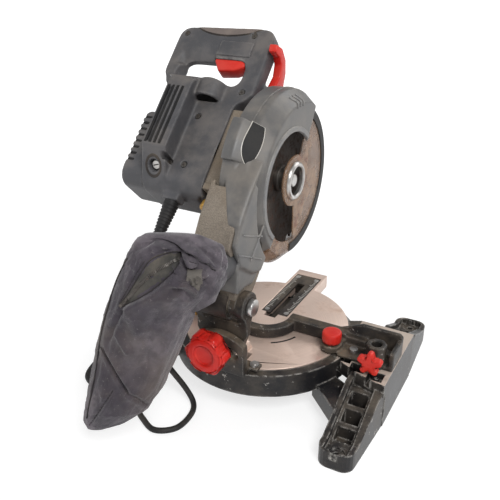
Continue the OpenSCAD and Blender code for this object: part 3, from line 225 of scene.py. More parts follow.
class Shader:
    """One material's node tree, built node by node."""

    def __init__(self, name: str) -> None:
        """Make an empty material with a Principled shader.

        Args:
            name: Name of the material.
        """
        self.material = bpy.data.materials.new(name)
        self.material.use_nodes = True
        self.tree = self.material.node_tree
        self.tree.nodes.clear()
        self.output = self.tree.nodes.new("ShaderNodeOutputMaterial")
        self.surface = self.tree.nodes.new("ShaderNodeBsdfPrincipled")
        self.tree.links.new(self.surface.outputs[0], self.output.inputs[0])
        self._coords: Optional[Sock] = None

    def put(self, node: bpy.types.Node, key: Union[int, str], value: Value) -> None:
        """Set or link one input socket.

        Args:
            node: Node that holds the socket.
            key: Index or name of the socket.
            value: Number, tuple or socket.
        """
        if isinstance(value, Sock):
            self.tree.links.new(value.socket, node.inputs[key])
        elif isinstance(value, tuple) and len(value) == 3 and node.inputs[key].type == "RGBA":
            node.inputs[key].default_value = (*value, 1.0)
        else:
            node.inputs[key].default_value = value

    def node(
        self, kind: str, settings: Optional[Dict[str, object]] = None,
        values: Optional[Dict[Union[int, str], Value]] = None, out: int = 0,
    ) -> Sock:
        """Add a node.

        Args:
            kind: Node type.
            settings: Properties that are set first.
            values: Values or links of its sockets.
            out: Index of the output to return.

        Returns:
            The chosen output.
        """
        made = self.tree.nodes.new(kind)
        for key, value in (settings or {}).items():
            setattr(made, key, value)
        for key, value in (values or {}).items():
            self.put(made, key, value)
        return Sock(self, made.outputs[out])

    def coords(self) -> Sock:
        """Find the Object coordinates.

        Returns:
            The vector, from one node.
        """
        if self._coords is None:
            self._coords = self.node("ShaderNodeTexCoord", out=3)
        return self._coords

    def mapped(self, move: Point = (0, 0, 0), turn: Point = (0, 0, 0), scale: Point = (1, 1, 1)) -> Sock:
        """Object coordinates that are moved in metres, turned in radians and scaled."""
        return self.node("ShaderNodeMapping", None, {0: self.coords(), 1: move, 2: turn, 3: scale})

    def axis(self, vector: Sock, index: int) -> Sock:
        """One component of a vector."""
        return self.node("ShaderNodeSeparateXYZ", None, {0: vector}, index)

    def noise(self, scale: float, detail: float = 3.0, rough: float = 0.55, vector: Optional[Sock] = None) -> Sock:
        """Noise over Object coordinates or another vector, with its scale per metre."""
        values = {0: vector or self.coords(), 2: scale, 3: detail, 4: rough}
        return self.node("ShaderNodeTexNoise", None, values)

    def mix(self, factor: Value, a: Value, b: Value) -> Sock:
        """Mix of two colours by the share of the second."""
        settings = {"data_type": "RGBA"}
        return self.node("ShaderNodeMix", settings, {0: factor, 6: a, 7: b}, 2)

    def up(self) -> Sock:
        """How far the surface faces up, from -1 to 1."""
        return self.axis(self.node("ShaderNodeNewGeometry", out=1), 2)

    def softened(self, radius: float) -> Sock:
        """Normal over edges that are rounded by a radius in metres."""
        return self.node("ShaderNodeBevel", {"samples": BEVEL_SAMPLES}, {"Radius": radius})

    def edges(self, radius: float) -> Sock:
        """How far the surface turns within a radius in metres, 0 on flat faces.

        Args:
            radius: Radius in metres.

        Returns:
            The value.
        """
        bent = self.softened(radius)
        flat = self.node("ShaderNodeNewGeometry", out=1)
        return 1.0 - self.node("ShaderNodeVectorMath", {"operation": "DOT_PRODUCT"}, {0: bent, 1: flat}, 1)

    def bump(self, height: Sock, strength: float, distance: float, radius: float = 0.0) -> Sock:
        """Bump over edges that a Bevel node rounds.

        Args:
            height: Height value.
            strength: Strength of the bump.
            distance: Height of the bump in metres.
            radius: Radius of the rounded edges in metres.

        Returns:
            The normal.
        """
        values: Dict[Union[int, str], Value] = {"Strength": strength, "Distance": distance, "Height": height}
        if radius > 0:
            values["Normal"] = self.softened(radius)
        return self.node("ShaderNodeBump", None, values)

    def finish(self, **values: Value) -> Material:
        """Set the surface's sockets.

        Args:
            values: Values by the socket's name, with spaces written as underscores.

        Returns:
            The material.
        """
        for key, value in values.items():
            self.put(self.surface, key.replace("_", " "), value)
        return self.material


# Finishes


class Finish:
    """A finish that makes its material once."""

    name: str
    _made: ClassVar[Dict[str, Material]] = {}

    def build(self) -> Material:
        """Make the material."""
        raise NotImplementedError

    def material(self) -> Material:
        """Make the material at its first use.

        Returns:
            The material.
        """
        if self.name not in Finish._made:
            Finish._made[self.name] = self.build()
        return Finish._made[self.name]


@dataclass(frozen=True)
class WornFinish(Finish):
    """Paint, plastic or metal with patches, chips, dust on its upper faces and a fine grain."""

    name: str
    base: Colour
    alt: Colour
    rough: float
    metal: float = 0.0
    patch_scale: float = 34.0
    dust: Colour = (0.36, 0.29, 0.21)
    dust_amount: float = 0.35
    chip: Colour = (0.45, 0.43, 0.4)
    chip_amount: float = 0.0
    chip_scale: float = 95.0
    grain_scale: float = 1500.0
    grain: float = 0.25
    grain_height: float = 0.0003
    edge: float = 0.0007
    coat: float = 0.0
    speckle: float = 0.0
    speckle_scale: float = 330.0
    gloss: float = 0.5
    scuff: float = 0.0
    scuff_r: float = 0.0028
    bare: Optional[Colour] = None
    bare_z: float = 0.0665
    bare_x: float = 0.118

    def build(self) -> Material:
        """Make the worn material.

        Returns:
            The material.
        """
        s = Shader(self.name)
        patch = s.noise(self.patch_scale, 4.0)
        colour = s.mix(patch.step(0.36, 0.66), self.base, self.alt)
        rough: Value = patch * 0.16 + (self.rough - 0.06)
        if self.chip_amount > 0:
            chips = s.noise(self.chip_scale, 6.0, 0.7).step(0.63, 0.67) * self.chip_amount
            colour = s.mix(chips, colour, self.chip)
            rough = rough + chips * 0.15
        if self.scuff > 0:
            rubbed = s.edges(self.scuff_r).step(0.01, 0.15) * s.noise(110.0, 6.0, 0.7).step(0.4, 0.6) * self.scuff
            colour = s.mix(rubbed, colour, self.chip)
        if self.speckle > 0:
            grit = s.noise(self.speckle_scale, 5.0, 0.75).step(0.4, 0.62)
            colour = s.mix(grit * self.speckle, colour, tuple(c * 0.42 for c in self.alt))
        if self.bare is not None:
            place = s.coords()
            x = s.axis(place, 0)
            flat = s.up().step(0.9, 0.97) * s.axis(place, 2).step(self.bare_z - 0.0006, self.bare_z - 0.0001)
            flat = flat * (x * x).step(self.bare_x**2 * 0.98, self.bare_x**2)
            colour = s.mix(flat * (1.0 - patch.step(0.55, 0.75) * 0.4), colour, self.bare)
        cloud = s.noise(17.0, 6.0, 0.62).step(0.38, 0.72)
        speck = s.noise(420.0, 3.0, 0.7).step(0.56, 0.68)
        settled = s.up().step(-0.35, 0.95)
        dusty = (cloud * 0.75 + speck * 0.3) * (settled * 0.75 + 0.25) * self.dust_amount
        colour = s.mix(dusty, colour, self.dust)
        grain = s.noise(self.grain_scale, 2.0)
        normal = s.bump(grain + speck * 0.3, self.grain, self.grain_height, self.edge)
        return s.finish(
            Base_Color=colour, Roughness=rough + dusty * 0.3, Metallic=self.metal, Normal=normal,
            Coat_Weight=self.coat, Specular_IOR_Level=self.gloss,
        )


@dataclass(frozen=True)
class TurnedFinish(Finish):
    """Turned aluminium with rings about the turntable's axis, brown stains and painted shade in the kerf slot."""

    name: str
    base: Colour
    stain: Colour
    rough: float = 0.4
    # Colour of the painted shade on the kerf slot's walls
    slot_shade: Colour = (0.02, 0.016, 0.013)
    slot_half: float = 0.012
    slot_top: float = 0.0636
    slot_front: float = -0.141

    def build(self) -> Material:
        """Make the turned material.

        Returns:
            The material.
        """
        s = Shader(self.name)
        place = s.mapped(move=(0.0, -SIZES.table_back * MM, 0.0))
        x, y = s.axis(place, 0), s.axis(place, 1)
        radius = (x * x + y * y).root()
        rings = (radius * 4200.0 + s.noise(9.0) * 3.0).sin()
        wide = s.noise(700.0, 2.0, 0.5, s.node("ShaderNodeCombineXYZ", None, {0: radius}))
        stain = s.noise(26.0, 6.0, 0.66).step(0.48, 0.74)
        colour = s.mix(wide.step(0.3, 0.7) * 0.5, self.base, tuple(c * 0.8 for c in self.base))
        colour = s.mix(stain * 0.55, colour, self.stain)
        # Painted shade: the kerf slot's walls are darkened to stand for the slot's dark hollow.
        narrow = 1.0 - (x * x).step(self.slot_half**2 * 0.95, self.slot_half**2)
        sunk = 1.0 - s.axis(place, 2).step(self.slot_top - 0.0003, self.slot_top)
        slot = narrow * sunk * y.step(self.slot_front - 0.001, self.slot_front)
        colour = s.mix(slot, colour, self.slot_shade)
        normal = s.bump(rings * 0.5 + wide, 0.22, 0.0002, 0.0006)
        metal = (0.55 - stain * 0.3) * (1.0 - slot)
        return s.finish(Base_Color=colour, Roughness=stain * 0.25 + self.rough, Metallic=metal, Normal=normal)


@dataclass(frozen=True)
class BladeFinish(Finish):
    """Ground steel gone brown, with rust spots and rings about the arbor."""

    name: str
    base: Colour
    rust: Colour
    rough: float = 0.36

    def build(self) -> Material:
        """Make the blade's material.

        Returns:
            The material.
        """
        s = Shader(self.name)
        spots = s.noise(120.0, 6.0, 0.7).step(0.46, 0.66)
        clouds = s.noise(30.0, 4.0).step(0.35, 0.7)
        colour = s.mix(clouds * 0.6, self.base, tuple(c * 0.55 for c in self.base))
        colour = s.mix(spots * 0.8, colour, self.rust)
        fine = s.noise(1800.0, 2.0)
        normal = s.bump(fine + spots, 0.2, 0.0002)
        rough, metal = spots * 0.35 + self.rough, 0.85 - spots * 0.6
        return s.finish(Base_Color=colour, Roughness=rough, Metallic=metal, Normal=normal)


@dataclass(frozen=True)
class ClearFinish(Finish):
    """Clear plastic, smoke brown, with a film of fine dust."""

    name: str
    base: Colour
    dust: Colour
    see_through: float = 0.62
    rust: Colour = (0.2, 0.062, 0.02)
    soot: Colour = (0.03, 0.02, 0.015)

    def build(self) -> Material:
        """Make the clear material.

        Returns:
            The material.
        """
        s = Shader(self.name)
        film = s.noise(24.0, 6.0, 0.65).step(0.36, 0.74)
        specks = s.noise(520.0, 3.0, 0.7).step(0.55, 0.7)
        cover = film * 0.75 + specks * 0.35
        colour = s.mix(cover, self.base, self.dust)
        rust = s.noise(46.0, 7.0, 0.7).step(0.55, 0.66)
        colour = s.mix(rust * 0.8, colour, self.rust)
        colour = s.mix(s.noise(31.0, 6.0, 0.7).step(0.56, 0.7) * 0.75, colour, self.soot)
        return s.finish(
            Base_Color=colour, Roughness=cover * 0.5 + 0.12, Alpha=cover * 0.5 + (1.0 - self.see_through),
            Normal=s.bump(specks, 0.15, 0.0002), IOR=1.5,
        )


@dataclass(frozen=True)
class ClothFinish(Finish):
    """Woven cloth with thread crossings, faded patches and dust."""

    name: str
    base: Colour
    faded: Colour
    pitch: float = 0.0011
    lint: Colour = (0.34, 0.31, 0.3)
    soil: Colour = (0.13, 0.1, 0.085)

    def build(self) -> Material:
        """Make the woven material.

        Returns:
            The material.
        """
        s = Shader(self.name)
        turned = s.mapped(turn=(0.5, 0.35, 0.4))
        wobble = s.noise(60.0, 2.0) * 2.0
        turn = 2.0 * math.pi / self.pitch
        warp = (s.axis(turned, 0) * turn + wobble).sin()
        weft = (s.axis(turned, 2) * turn + wobble).sin()
        weave = warp * weft * 0.5 + 0.5
        fade = s.noise(11.0, 6.0, 0.62).step(0.4, 0.66)
        mottled = s.noise(75.0, 5.0, 0.6)
        colour = s.mix(fade, self.base, self.faded)
        colour = s.mix(mottled.step(0.38, 0.64) * 0.6, colour, tuple(c * 0.62 for c in self.base))
        colour = s.mix(weave * 0.25, colour, tuple(c * 0.45 for c in self.base))
        lint = s.noise(260.0, 4.0, 0.7).step(0.6, 0.72) * 0.35
        colour = s.mix(lint, colour, self.lint)
        soil = s.noise(6.5, 5.0, 0.6).step(0.5, 0.68) * 0.5
        colour = s.mix(soil, colour, self.soil)
        normal = s.bump(weave + mottled * 0.8, 0.45, 0.0004)
        return s.finish(Base_Color=colour, Roughness=0.86, Sheen_Weight=0.25, Normal=normal)


BLACK_PAINT = WornFinish(
    "black_paint", (0.011, 0.011, 0.013), (0.026, 0.024, 0.024), 0.36, dust_amount=0.3, chip_amount=0.85,
    grain_scale=700.0, grain=0.35, edge=0.0012, coat=0.08, gloss=0.25, scuff=0.9, scuff_r=0.0036,
)
BASE_PAINT = replace(BLACK_PAINT, name="base_paint", bare=(0.5, 0.42, 0.36))
BRACKET_PAINT = WornFinish(
    "bracket_paint", (0.016, 0.015, 0.015), (0.045, 0.039, 0.034), 0.42, dust=(0.26, 0.19, 0.125),
    dust_amount=0.75, chip_amount=0.9, chip_scale=130.0, grain_scale=600.0, grain=0.5, edge=0.0012, gloss=0.3,
    scuff=0.7,
)
GREY_PLASTIC = WornFinish(
    "grey_plastic", (0.07, 0.07, 0.076), (0.1, 0.098, 0.104), 0.46, dust_amount=0.24, grain_scale=1900.0,
    grain=0.35, edge=0.002, gloss=0.36, scuff=0.4, scuff_r=0.005,
)
GUARD_GREY = WornFinish(
    "guard_grey", (0.102, 0.1, 0.099), (0.138, 0.132, 0.126), 0.4, dust_amount=0.26, grain_scale=1600.0,
    grain=0.22, edge=0.0012, scuff=0.3, scuff_r=0.004,
)
# A lighter copy of the guard's grey for its raised lip, chevrons and ribs: painted highlight.
LIT_GUARD_GREY = replace(GUARD_GREY, name="lip_grey", base=(0.14, 0.14, 0.145), alt=(0.19, 0.185, 0.18))
DARK_GREY = WornFinish(
    "dark_grey", (0.05, 0.05, 0.054), (0.075, 0.074, 0.078), 0.55, dust_amount=0.3, edge=0.0008
)
RED_PLASTIC = WornFinish(
    "red_plastic", (0.6, 0.014, 0.009), (0.68, 0.032, 0.02), 0.38, dust_amount=0.09, grain=0.12, edge=0.0009,
    coat=0.06, gloss=0.3,
)
CAST_ALLOY = WornFinish(
    "cast_alloy", (0.3, 0.255, 0.205), (0.2, 0.168, 0.138), 0.6, metal=0.3, dust=(0.36, 0.28, 0.19),
    dust_amount=0.7, grain_scale=420.0, grain=0.7, grain_height=0.0007, edge=0.0012, speckle=0.55, speckle_scale=850.0,
)
STEEL = WornFinish(
    "zinc_steel", (0.56, 0.55, 0.54), (0.4, 0.385, 0.37), 0.3, metal=0.95, dust_amount=0.25, chip=(0.28, 0.17, 0.1),
    chip_amount=0.5, chip_scale=160.0, grain=0.1, edge=0.0005,
)
DARK_STEEL = replace(STEEL, name="dark_steel", base=(0.16, 0.15, 0.14), alt=(0.1, 0.09, 0.085), rough=0.42)
# Dark plastic, also used as painted shade on the screws' crossed recesses, the brush cap's slot and the recess round
# it.
DARK_PLASTIC_AND_SHADE = WornFinish(
    "dark_plastic", (0.022, 0.018, 0.016), (0.04, 0.032, 0.028), 0.46, dust_amount=0.35, edge=0.0004, gloss=0.3
)
RUBBER = WornFinish(
    "black_rubber", (0.014, 0.014, 0.015), (0.026, 0.025, 0.026), 0.55, dust_amount=0.14, grain=0.2, edge=0.0005,
    gloss=0.3,
)
# Black for the bare plate, and painted shade in the table's groove, the end cap's air slits and the intake slots.
BLACK_PLATE_AND_SHADE = replace(
    RUBBER, name="plate_black", base=(0.007, 0.007, 0.008), alt=(0.012, 0.012, 0.013), rough=0.55, dust_amount=0.05
)
GRIP_RUBBER = WornFinish(
    "grip_rubber", (0.15, 0.122, 0.11), (0.19, 0.155, 0.138), 0.7, dust_amount=0.2, grain_scale=1100.0, grain=0.5
)
BRASS = WornFinish(
    "amber_brass", (0.58, 0.33, 0.06), (0.45, 0.24, 0.05), 0.4, metal=0.5, dust_amount=0.25, edge=0.0005
)
COPPER = WornFinish(
    "wound_copper", (0.4, 0.17, 0.07), (0.3, 0.13, 0.06), 0.45, metal=0.8, dust_amount=0.1
)
SCALE_WHITE = WornFinish(
    "scale_white", (0.72, 0.7, 0.66), (0.55, 0.52, 0.47), 0.55, dust_amount=0.2, edge=0.0
)
TABLE_ALLOY = TurnedFinish("turned_alloy", (0.8, 0.625, 0.53), (0.34, 0.2, 0.13))
BLADE_STEEL = BladeFinish("blade_steel", (0.12, 0.1, 0.088), (0.075, 0.032, 0.016))
CLEAR_GUARD = ClearFinish("clear_guard", (0.24, 0.135, 0.078), (0.44, 0.3, 0.2), 0.5)
BAG_CLOTH = ClothFinish("bag_cloth", (0.042, 0.034, 0.046), (0.15, 0.128, 0.146))
ZIP_TAPE = WornFinish(
    "zip_tape", (0.03, 0.029, 0.027), (0.06, 0.056, 0.05), 0.8, dust_amount=0.28, grain_scale=900.0, grain=0.6
)
TAG_CLOTH = replace(ZIP_TAPE, name="tag_cloth", base=(0.1, 0.09, 0.08), alt=(0.15, 0.135, 0.12))
THREAD = WornFinish("dark_thread", (0.014, 0.012, 0.014), (0.025, 0.022, 0.024), 0.85, dust_amount=0.2)

FINISHED_NODES: Sequence[Tuple[Finish, str]] = (
    (BASE_PAINT, "base_casting"),
    (
        STEEL,
        "swivel_bolt mitre_scale fence_bolts kerf_screws bevel_stops bevel_pin bevel_stud pivot_bolt pivot_nut "
        "torsion_spring gearbox_screws inner_flange outer_flange arbor_bolt arbor_shaft arbor_bearings "
        "driven_gear armature_shaft motor_bearings",
    ),
    (BRACKET_PAINT, "fence bevel_quadrant bevel_bracket"),
    (
        RED_PLASTIC,
        "mitre_knob_left mitre_knob_right clamp_knob_left clamp_knob_right bevel_knob trigger guard_lever",
    ),
    (TABLE_ALLOY, "turntable"),
    (DARK_PLASTIC_AND_SHADE, "kerf_plate spring_cover motor_fan brushes housing_screws switch"),
    (BRASS, "lock_pin spindle_lock"),
    (CAST_ALLOY, "head_casting gearbox_cover"),
    (GUARD_GREY, "upper_guard"),
    (RUBBER, "guard_plate lower_guard_edge cord_boot power_cord cord_coil mains_plug"),
    (CLEAR_GUARD, "lower_guard"),
    (BLADE_STEEL, "saw_blade"),
    (COPPER, "armature_core commutator stator"),
    (DARK_GREY, "brush_caps dust_port"),
    (GREY_PLASTIC, "housing_top housing_bottom end_cap"),
    (GRIP_RUBBER, "grip_pad"),
    (BAG_CLOTH, "dust_bag"),
)
NODE_FINISH: Dict[str, Finish] = {node: finish for finish, nodes in FINISHED_NODES for node in nodes.split()}


# Mesh making


def linked(name: str, data: bpy.types.ID) -> Obj:
    """Make an object in the scene.

    Args:
        name: Name of the object.
        data: Its mesh, camera or light.

    Returns:
        The object.
    """
    obj = bpy.data.objects.new(name, data)
    bpy.context.scene.collection.objects.link(obj)
    return obj


def surface_of(mesh: Mesh) -> BVHTree:
    """Search tree of a mesh's faces."""
    return BVHTree.FromPolygons([v.co for v in mesh.vertices], [p.vertices for p in mesh.polygons])


def quads(rows: int, count: int, wrap: bool = False, ring: bool = True) -> List[Tuple[int, ...]]:
    """Faces between neighbouring rows of points.

    Args:
        rows: Number of rows.
        count: Points in a row.
        wrap: Whether the last row joins the first.
        ring: Whether a row's last point joins its first.

    Returns:
        The faces.
    """
    faces: List[Tuple[int, ...]] = []
    for i in range(rows if wrap else rows - 1):
        near, far = i * count, (i + 1) % rows * count
        for k in range(count if ring else count - 1):
            m = (k + 1) % count
            faces.append((near + k, near + m, far + m, far + k))
    return faces


def lids(rows: int, count: int) -> List[Tuple[int, ...]]:
    """Faces that close the first and the last row of points."""
    return [tuple(range(count)), tuple(reversed(range((rows - 1) * count, rows * count)))]


class Workshop:
    """Makes meshes in a frame's millimetres and puts them on bodies."""

    def __init__(self, frame: Dict[str, object]) -> None:
        """Keep the loaded frame."""
        self.nodes: Dict[str, Obj] = frame["nodes"]

    def piece(
        self, name: str, points: Path, faces: Sequence[Sequence[int]], space: Space, finish: Finish,
        smooth: float = EDGE_ANGLE,
    ) -> Obj:
        """Make an object from points and faces.

        Args:
            name: Name of the piece.
            points: Points in the frame's millimetres.
            faces: Faces as lists of point indices.
            space: Frame of the points.
            finish: Finish of the piece.
            smooth: Angle in degrees under which edges are smooth.

        Returns:
            The object, at the origin.
        """
        mesh = bpy.data.meshes.new(name)
        matrix = space.matrix()
        mesh.from_pydata([matrix @ Vector(p) for p in points], [], faces)
        return self.adopt(name, mesh, finish, smooth)

    def adopt(self, name: str, mesh: Mesh, finish: Finish, smooth: float) -> Obj:
        """Make an object from a mesh that is already in place.

        Args:
            name: Name of the piece.
            mesh: Mesh in the part frame's metres.
            finish: Finish of the piece.
            smooth: Angle in degrees under which edges are smooth.

        Returns:
            The object, at the origin.
        """
        work = bmesh.new()
        work.from_mesh(mesh)
        bmesh.ops.remove_doubles(work, verts=work.verts, dist=1e-6)
        bmesh.ops.recalc_face_normals(work, faces=work.faces)
        work.to_mesh(mesh)
        work.free()
        mesh.materials.clear()
        mesh.materials.append(finish.material())
        self.shade(mesh, smooth)
        return linked(name, mesh)

    @staticmethod
    def shade(mesh: Mesh, smooth: float) -> None:
        """Smooth the edges under an angle in degrees."""
        mesh.shade_smooth()
        mesh.set_sharp_from_angle(angle=math.radians(smooth))

    @staticmethod
    def ride(obj: Obj, body: str, slot: str, *replaced: str) -> Obj:
        """Put a piece on a body.

        Args:
            obj: The piece.
            body: Body that it rides on.
            slot: Not used.
            replaced: Solids that it stands for.

        Returns:
            The piece.
        """
        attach(obj, body)
        if replaced:
            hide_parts(*replaced)
        LOG.info("%s rides on %s", obj.name, body)
        return obj

    def place(
        self, name: str, shape: Shape, space: Space, finish: Finish, smooth: float, body: str, slot: str,
        *replaced: str,
    ) -> Obj:
        """Make a piece from points and faces and put it on a body."""
        return self.ride(self.piece(name, *shape, space, finish, smooth), body, slot, *replaced)

    def rounded(self, node: str, width: float, segments: int = 2) -> Obj:
        """Make a copy of a solid with rounded edges.

        Args:
            node: Name of the solid.
            width: Width of the rounding in millimetres.
            segments: Steps of the rounding.

        Returns:
            The rounded piece.
        """
        mesh = self.nodes[node].data.copy()
        work = bmesh.new()
        work.from_mesh(mesh)
        bmesh.ops.remove_doubles(work, verts=work.verts, dist=2e-6)
        bmesh.ops.dissolve_limit(
            work, angle_limit=math.radians(1.0), verts=work.verts, edges=work.edges, delimit=set()
        )
        work.to_mesh(mesh)
        work.free()
        mesh.materials.clear()
        obj = linked(node + "_shape", mesh)
        bevel = obj.modifiers.new("edges", "BEVEL")
        bevel.limit_method = "ANGLE"
        bevel.angle_limit = math.radians(ROUND_OVER)
        bevel.width = width * MM
        bevel.segments = segments
        bevel.use_clamp_overlap = False
        made = self.bake(obj, node + "_shell", NODE_FINISH[node], ROUND_ANGLE)
        self.settle(made.data, node, width)
        return made

    def ease(self, node: str, body: str, slot: str, width: float, segments: int = 2) -> None:
        """Put a copy with edges rounded by a width in millimetres in a solid's place."""
        self.ride(self.rounded(node, width, segments), body, slot, node)

    def bevelled(self, name: str, shape: Shape, finish: Finish, width: float, segments: int) -> Obj:
        """Make a piece of the motor housing with bevelled edges.

        Args:
            name: Name of the piece.
            shape: Points and faces.
            finish: Finish of the piece.
            width: Width of the bevel in millimetres.
            segments: Steps of the bevel.

        Returns:
            The piece.
        """
        raw = self.piece(name + "_raw", *shape, Space.MOTOR, finish)
        bevel = raw.modifiers.new("edges", "BEVEL")
        bevel.width = width * MM
        bevel.segments = segments
        return self.bake(raw, name, finish, BEVEL_ANGLE)

    def settle(self, mesh: Mesh, node: str, reach: float) -> None:
        """Bring points that a rounding threw off a solid back to its surface.

        Args:
            mesh: Rounded mesh.
            node: Name of the solid.
            reach: Largest distance in millimetres that a point keeps.
        """
        tree = surface_of(self.nodes[node].data)
        for vertex in mesh.vertices:
            near, _, _, gap = tree.find_nearest(vertex.co)
            if near is not None and gap > reach * 0.75 * MM:
                vertex.co = near
        self.shade(mesh, ROUND_ANGLE)

    def moulded(
        self, name: str, nodes: Sequence[str], voxel: float, rounds: Union[float, Field], space: Space,
        extra: Sequence[Obj] = (), shape: Optional[Field] = None,
    ) -> Obj:
        """Make one moulded skin from solids.

        Args:
            name: Name of the piece.
            nodes: Solids that it is made from.
            voxel: Size of its cells in millimetres.
            rounds: Rounds of smoothing, or what gives them for points in the frame's millimetres.
            space: Frame of the points.
            extra: Objects that are moulded in and removed.
            shape: Moves points in the frame's millimetres after the smoothing.

        Returns:
            The skin.
        """
        work = bmesh.new()
        for node in nodes:
            work.from_mesh(self.nodes[node].data)
        for other in extra:
            work.from_mesh(other.data)
            bpy.data.objects.remove(other)
        mesh = bpy.data.meshes.new(name + "_raw")
        work.to_mesh(mesh)
        work.free()
        mesh.materials.clear()
        obj = linked(name + "_raw", mesh)
        skin = obj.modifiers.new("skin", "REMESH")
        skin.mode = "VOXEL"
        skin.voxel_size = voxel * MM
        made = self.bake(obj, name, NODE_FINISH[nodes[0]], SKIN_ANGLE)
        self.relax(made.data, rounds, space, shape)
        self.shade(made.data, SKIN_ANGLE)
        LOG.info("%s has %d faces", name, len(made.data.polygons))
        return made

    @staticmethod
    def relax(mesh: Mesh, rounds: Union[float, Field], space: Space, shape: Optional[Field]) -> None:
        """Smooth a mesh, more in some places than in others.

        Args:
            mesh: Mesh in the part frame's metres.
            rounds: Rounds of smoothing, or what gives them for points in the frame's millimetres.
            space: Frame of the points.
            shape: Moves points in the frame's millimetres afterwards.
        """
        count = len(mesh.vertices)
        flat = np.empty(count * 3, np.float32)
        mesh.vertices.foreach_get("co", flat)
        points = flat.reshape(-1, 3).astype(float)
        ends = np.empty(len(mesh.edges) * 2, np.int32)
        mesh.edges.foreach_get("vertices", ends)
        a, b = ends[0::2], ends[1::2]
        near = np.maximum(np.bincount(ends, minlength=count), 1)[:, None]
        back = np.array(space.matrix().inverted())
        wanted = rounds(points @ back[:3, :3].T + back[:3, 3]) if callable(rounds) else np.full(count, rounds)
        for i in range(int(np.ceil(wanted.max()))):
            share = np.clip(wanted - i, 0.0, 1.0)[:, None] * 0.5
            total = np.stack(
                [np.bincount(a, points[b, k], count) + np.bincount(b, points[a, k], count) for k in range(3)], 1
            )
            points += (total / near - points) * share
        if shape is not None:
            ahead = np.array(space.matrix())
            points = shape(points @ back[:3, :3].T + back[:3, 3]) @ ahead[:3, :3].T + ahead[:3, 3]
        mesh.vertices.foreach_set("co", points.astype(np.float32).ravel())
        mesh.update()

    def carve(self, obj: Obj, cutter: Obj, finish: Finish) -> Obj:
        """Cut one object out of another.

        Args:
            obj: Object that is cut.
            cutter: Object that is cut out of it and removed.
            finish: Finish of the cut piece.

        Returns:
            The cut piece.
        """
        name = obj.name
        obj.name = name + "_whole"
        cut = obj.modifiers.new("cut", "BOOLEAN")
        cut.operation = "DIFFERENCE"
        cut.solver = "EXACT"
        cut.object = cutter
        made = self.bake(obj, name, finish, SKIN_ANGLE)
        bpy.data.objects.remove(cutter)
        return made

    def decal(
        self, name: str, target: Obj, centre: Point, along: Point, out: Point, half: Pair, lift: float,
        space: Space, finish: Finish,
    ) -> Obj:
        """Make an oval patch that lies on a surface.

        Args:
            name: Name of the piece.
            target: Piece that it lies on.
            centre: Middle of the patch.
            along: Direction of its long axis.
            out: Direction away from the surface.
            half: Half its length and width.
            lift: Height over the surface.
            space: Frame of the places.
            finish: Finish of the patch.

        Returns:
            The patch.
        """
        tree = surface_of(target.data)
        whole = space.matrix() @ facing(centre, along, out)
        ray = -(whole.to_3x3() @ Vector((0, 0, 1))).normalized()
        rows = [(0.0, 1.0), (0.25, 1.0), (0.5, 1.0), (0.75, 0.95), (0.9, 0.85), (0.98, 0.6), (1.0, 0.2), (1.0, -1.2)]
        sides, above, reach = 72, 40.0, 0.09
        points = []
        for share, rise in rows:
            for k in range(sides):
                turn = 2 * math.pi * k / sides
                start = whole @ Vector((half[0] * share * math.cos(turn), half[1] * share * math.sin(turn), above))
                hit = tree.ray_cast(start, ray, reach)[0]
                points.append((hit if hit is not None else start + ray * above * MM) - ray * lift * rise * MM)
        mesh = bpy.data.meshes.new(name)
        mesh.from_pydata(points, [], quads(len(rows), sides))
        made = self.adopt(name, mesh, finish, SKIN_ANGLE)
        self.face_out(mesh, -ray)
        return made

    @staticmethod
    def face_out(mesh: Mesh, out: Vector) -> None:
        """Turn an open patch's faces to a direction."""
        if sum((p.normal.dot(out) * p.area for p in mesh.polygons)) < 0:
            mesh.flip_normals()

    def bake(self, obj: Obj, name: str, finish: Finish, smooth: float) -> Obj:
        """Turn an object with modifiers into a plain piece.

        Args:
            obj: Object to convert, which is removed.
            name: Name of the piece.
            finish: Finish of the piece.
            smooth: Angle in degrees under which edges are smooth.

        Returns:
            The plain piece.
        """
        graph = bpy.context.evaluated_depsgraph_get()
        graph.update()
        mesh = bpy.data.meshes.new_from_object(obj.evaluated_get(graph))
        mesh.name = name
        old = obj.data
        bpy.data.objects.remove(obj)
        if old.users == 0:
            bpy.data.meshes.remove(old)
        return self.adopt(name, mesh, finish, smooth)

    def dress(self) -> None:
        """Give every solid its finish."""
        for name, node in self.nodes.items():
            node.data.materials.clear()
            node.data.materials.append(NODE_FINISH[name].material())


def slab(outline: Outline, low: float, high: float) -> Shape:
    """Points and faces of a prism along X, from its outline in Y and Z."""
    points = [(x, y, z) for x in (low, high) for y, z in outline]
    return points, lids(2, len(outline)) + quads(2, len(outline))


def turned(profile: Outline, start: float, stop: float, steps: int) -> Shape:
    """Turn a closed section about the X axis.

    Args:
        profile: Points of radius and X.
        start: First angle in degrees: 0 is down, 90 rear and 180 up.
        stop: Last angle in degrees.
        steps: Steps between them.

    Returns:
        Points and faces.
    """
    points = []
    whole = abs(stop - start) >= 360
    rows = steps if whole else steps + 1
    for i in range(rows):
        a = math.radians(start + (stop - start) * i / steps)
        points += [(x, r * math.sin(a), -r * math.cos(a)) for r, x in profile]
    faces = quads(rows, len(profile), wrap=whole)
    return points, faces if whole else faces + lids(rows, len(profile))


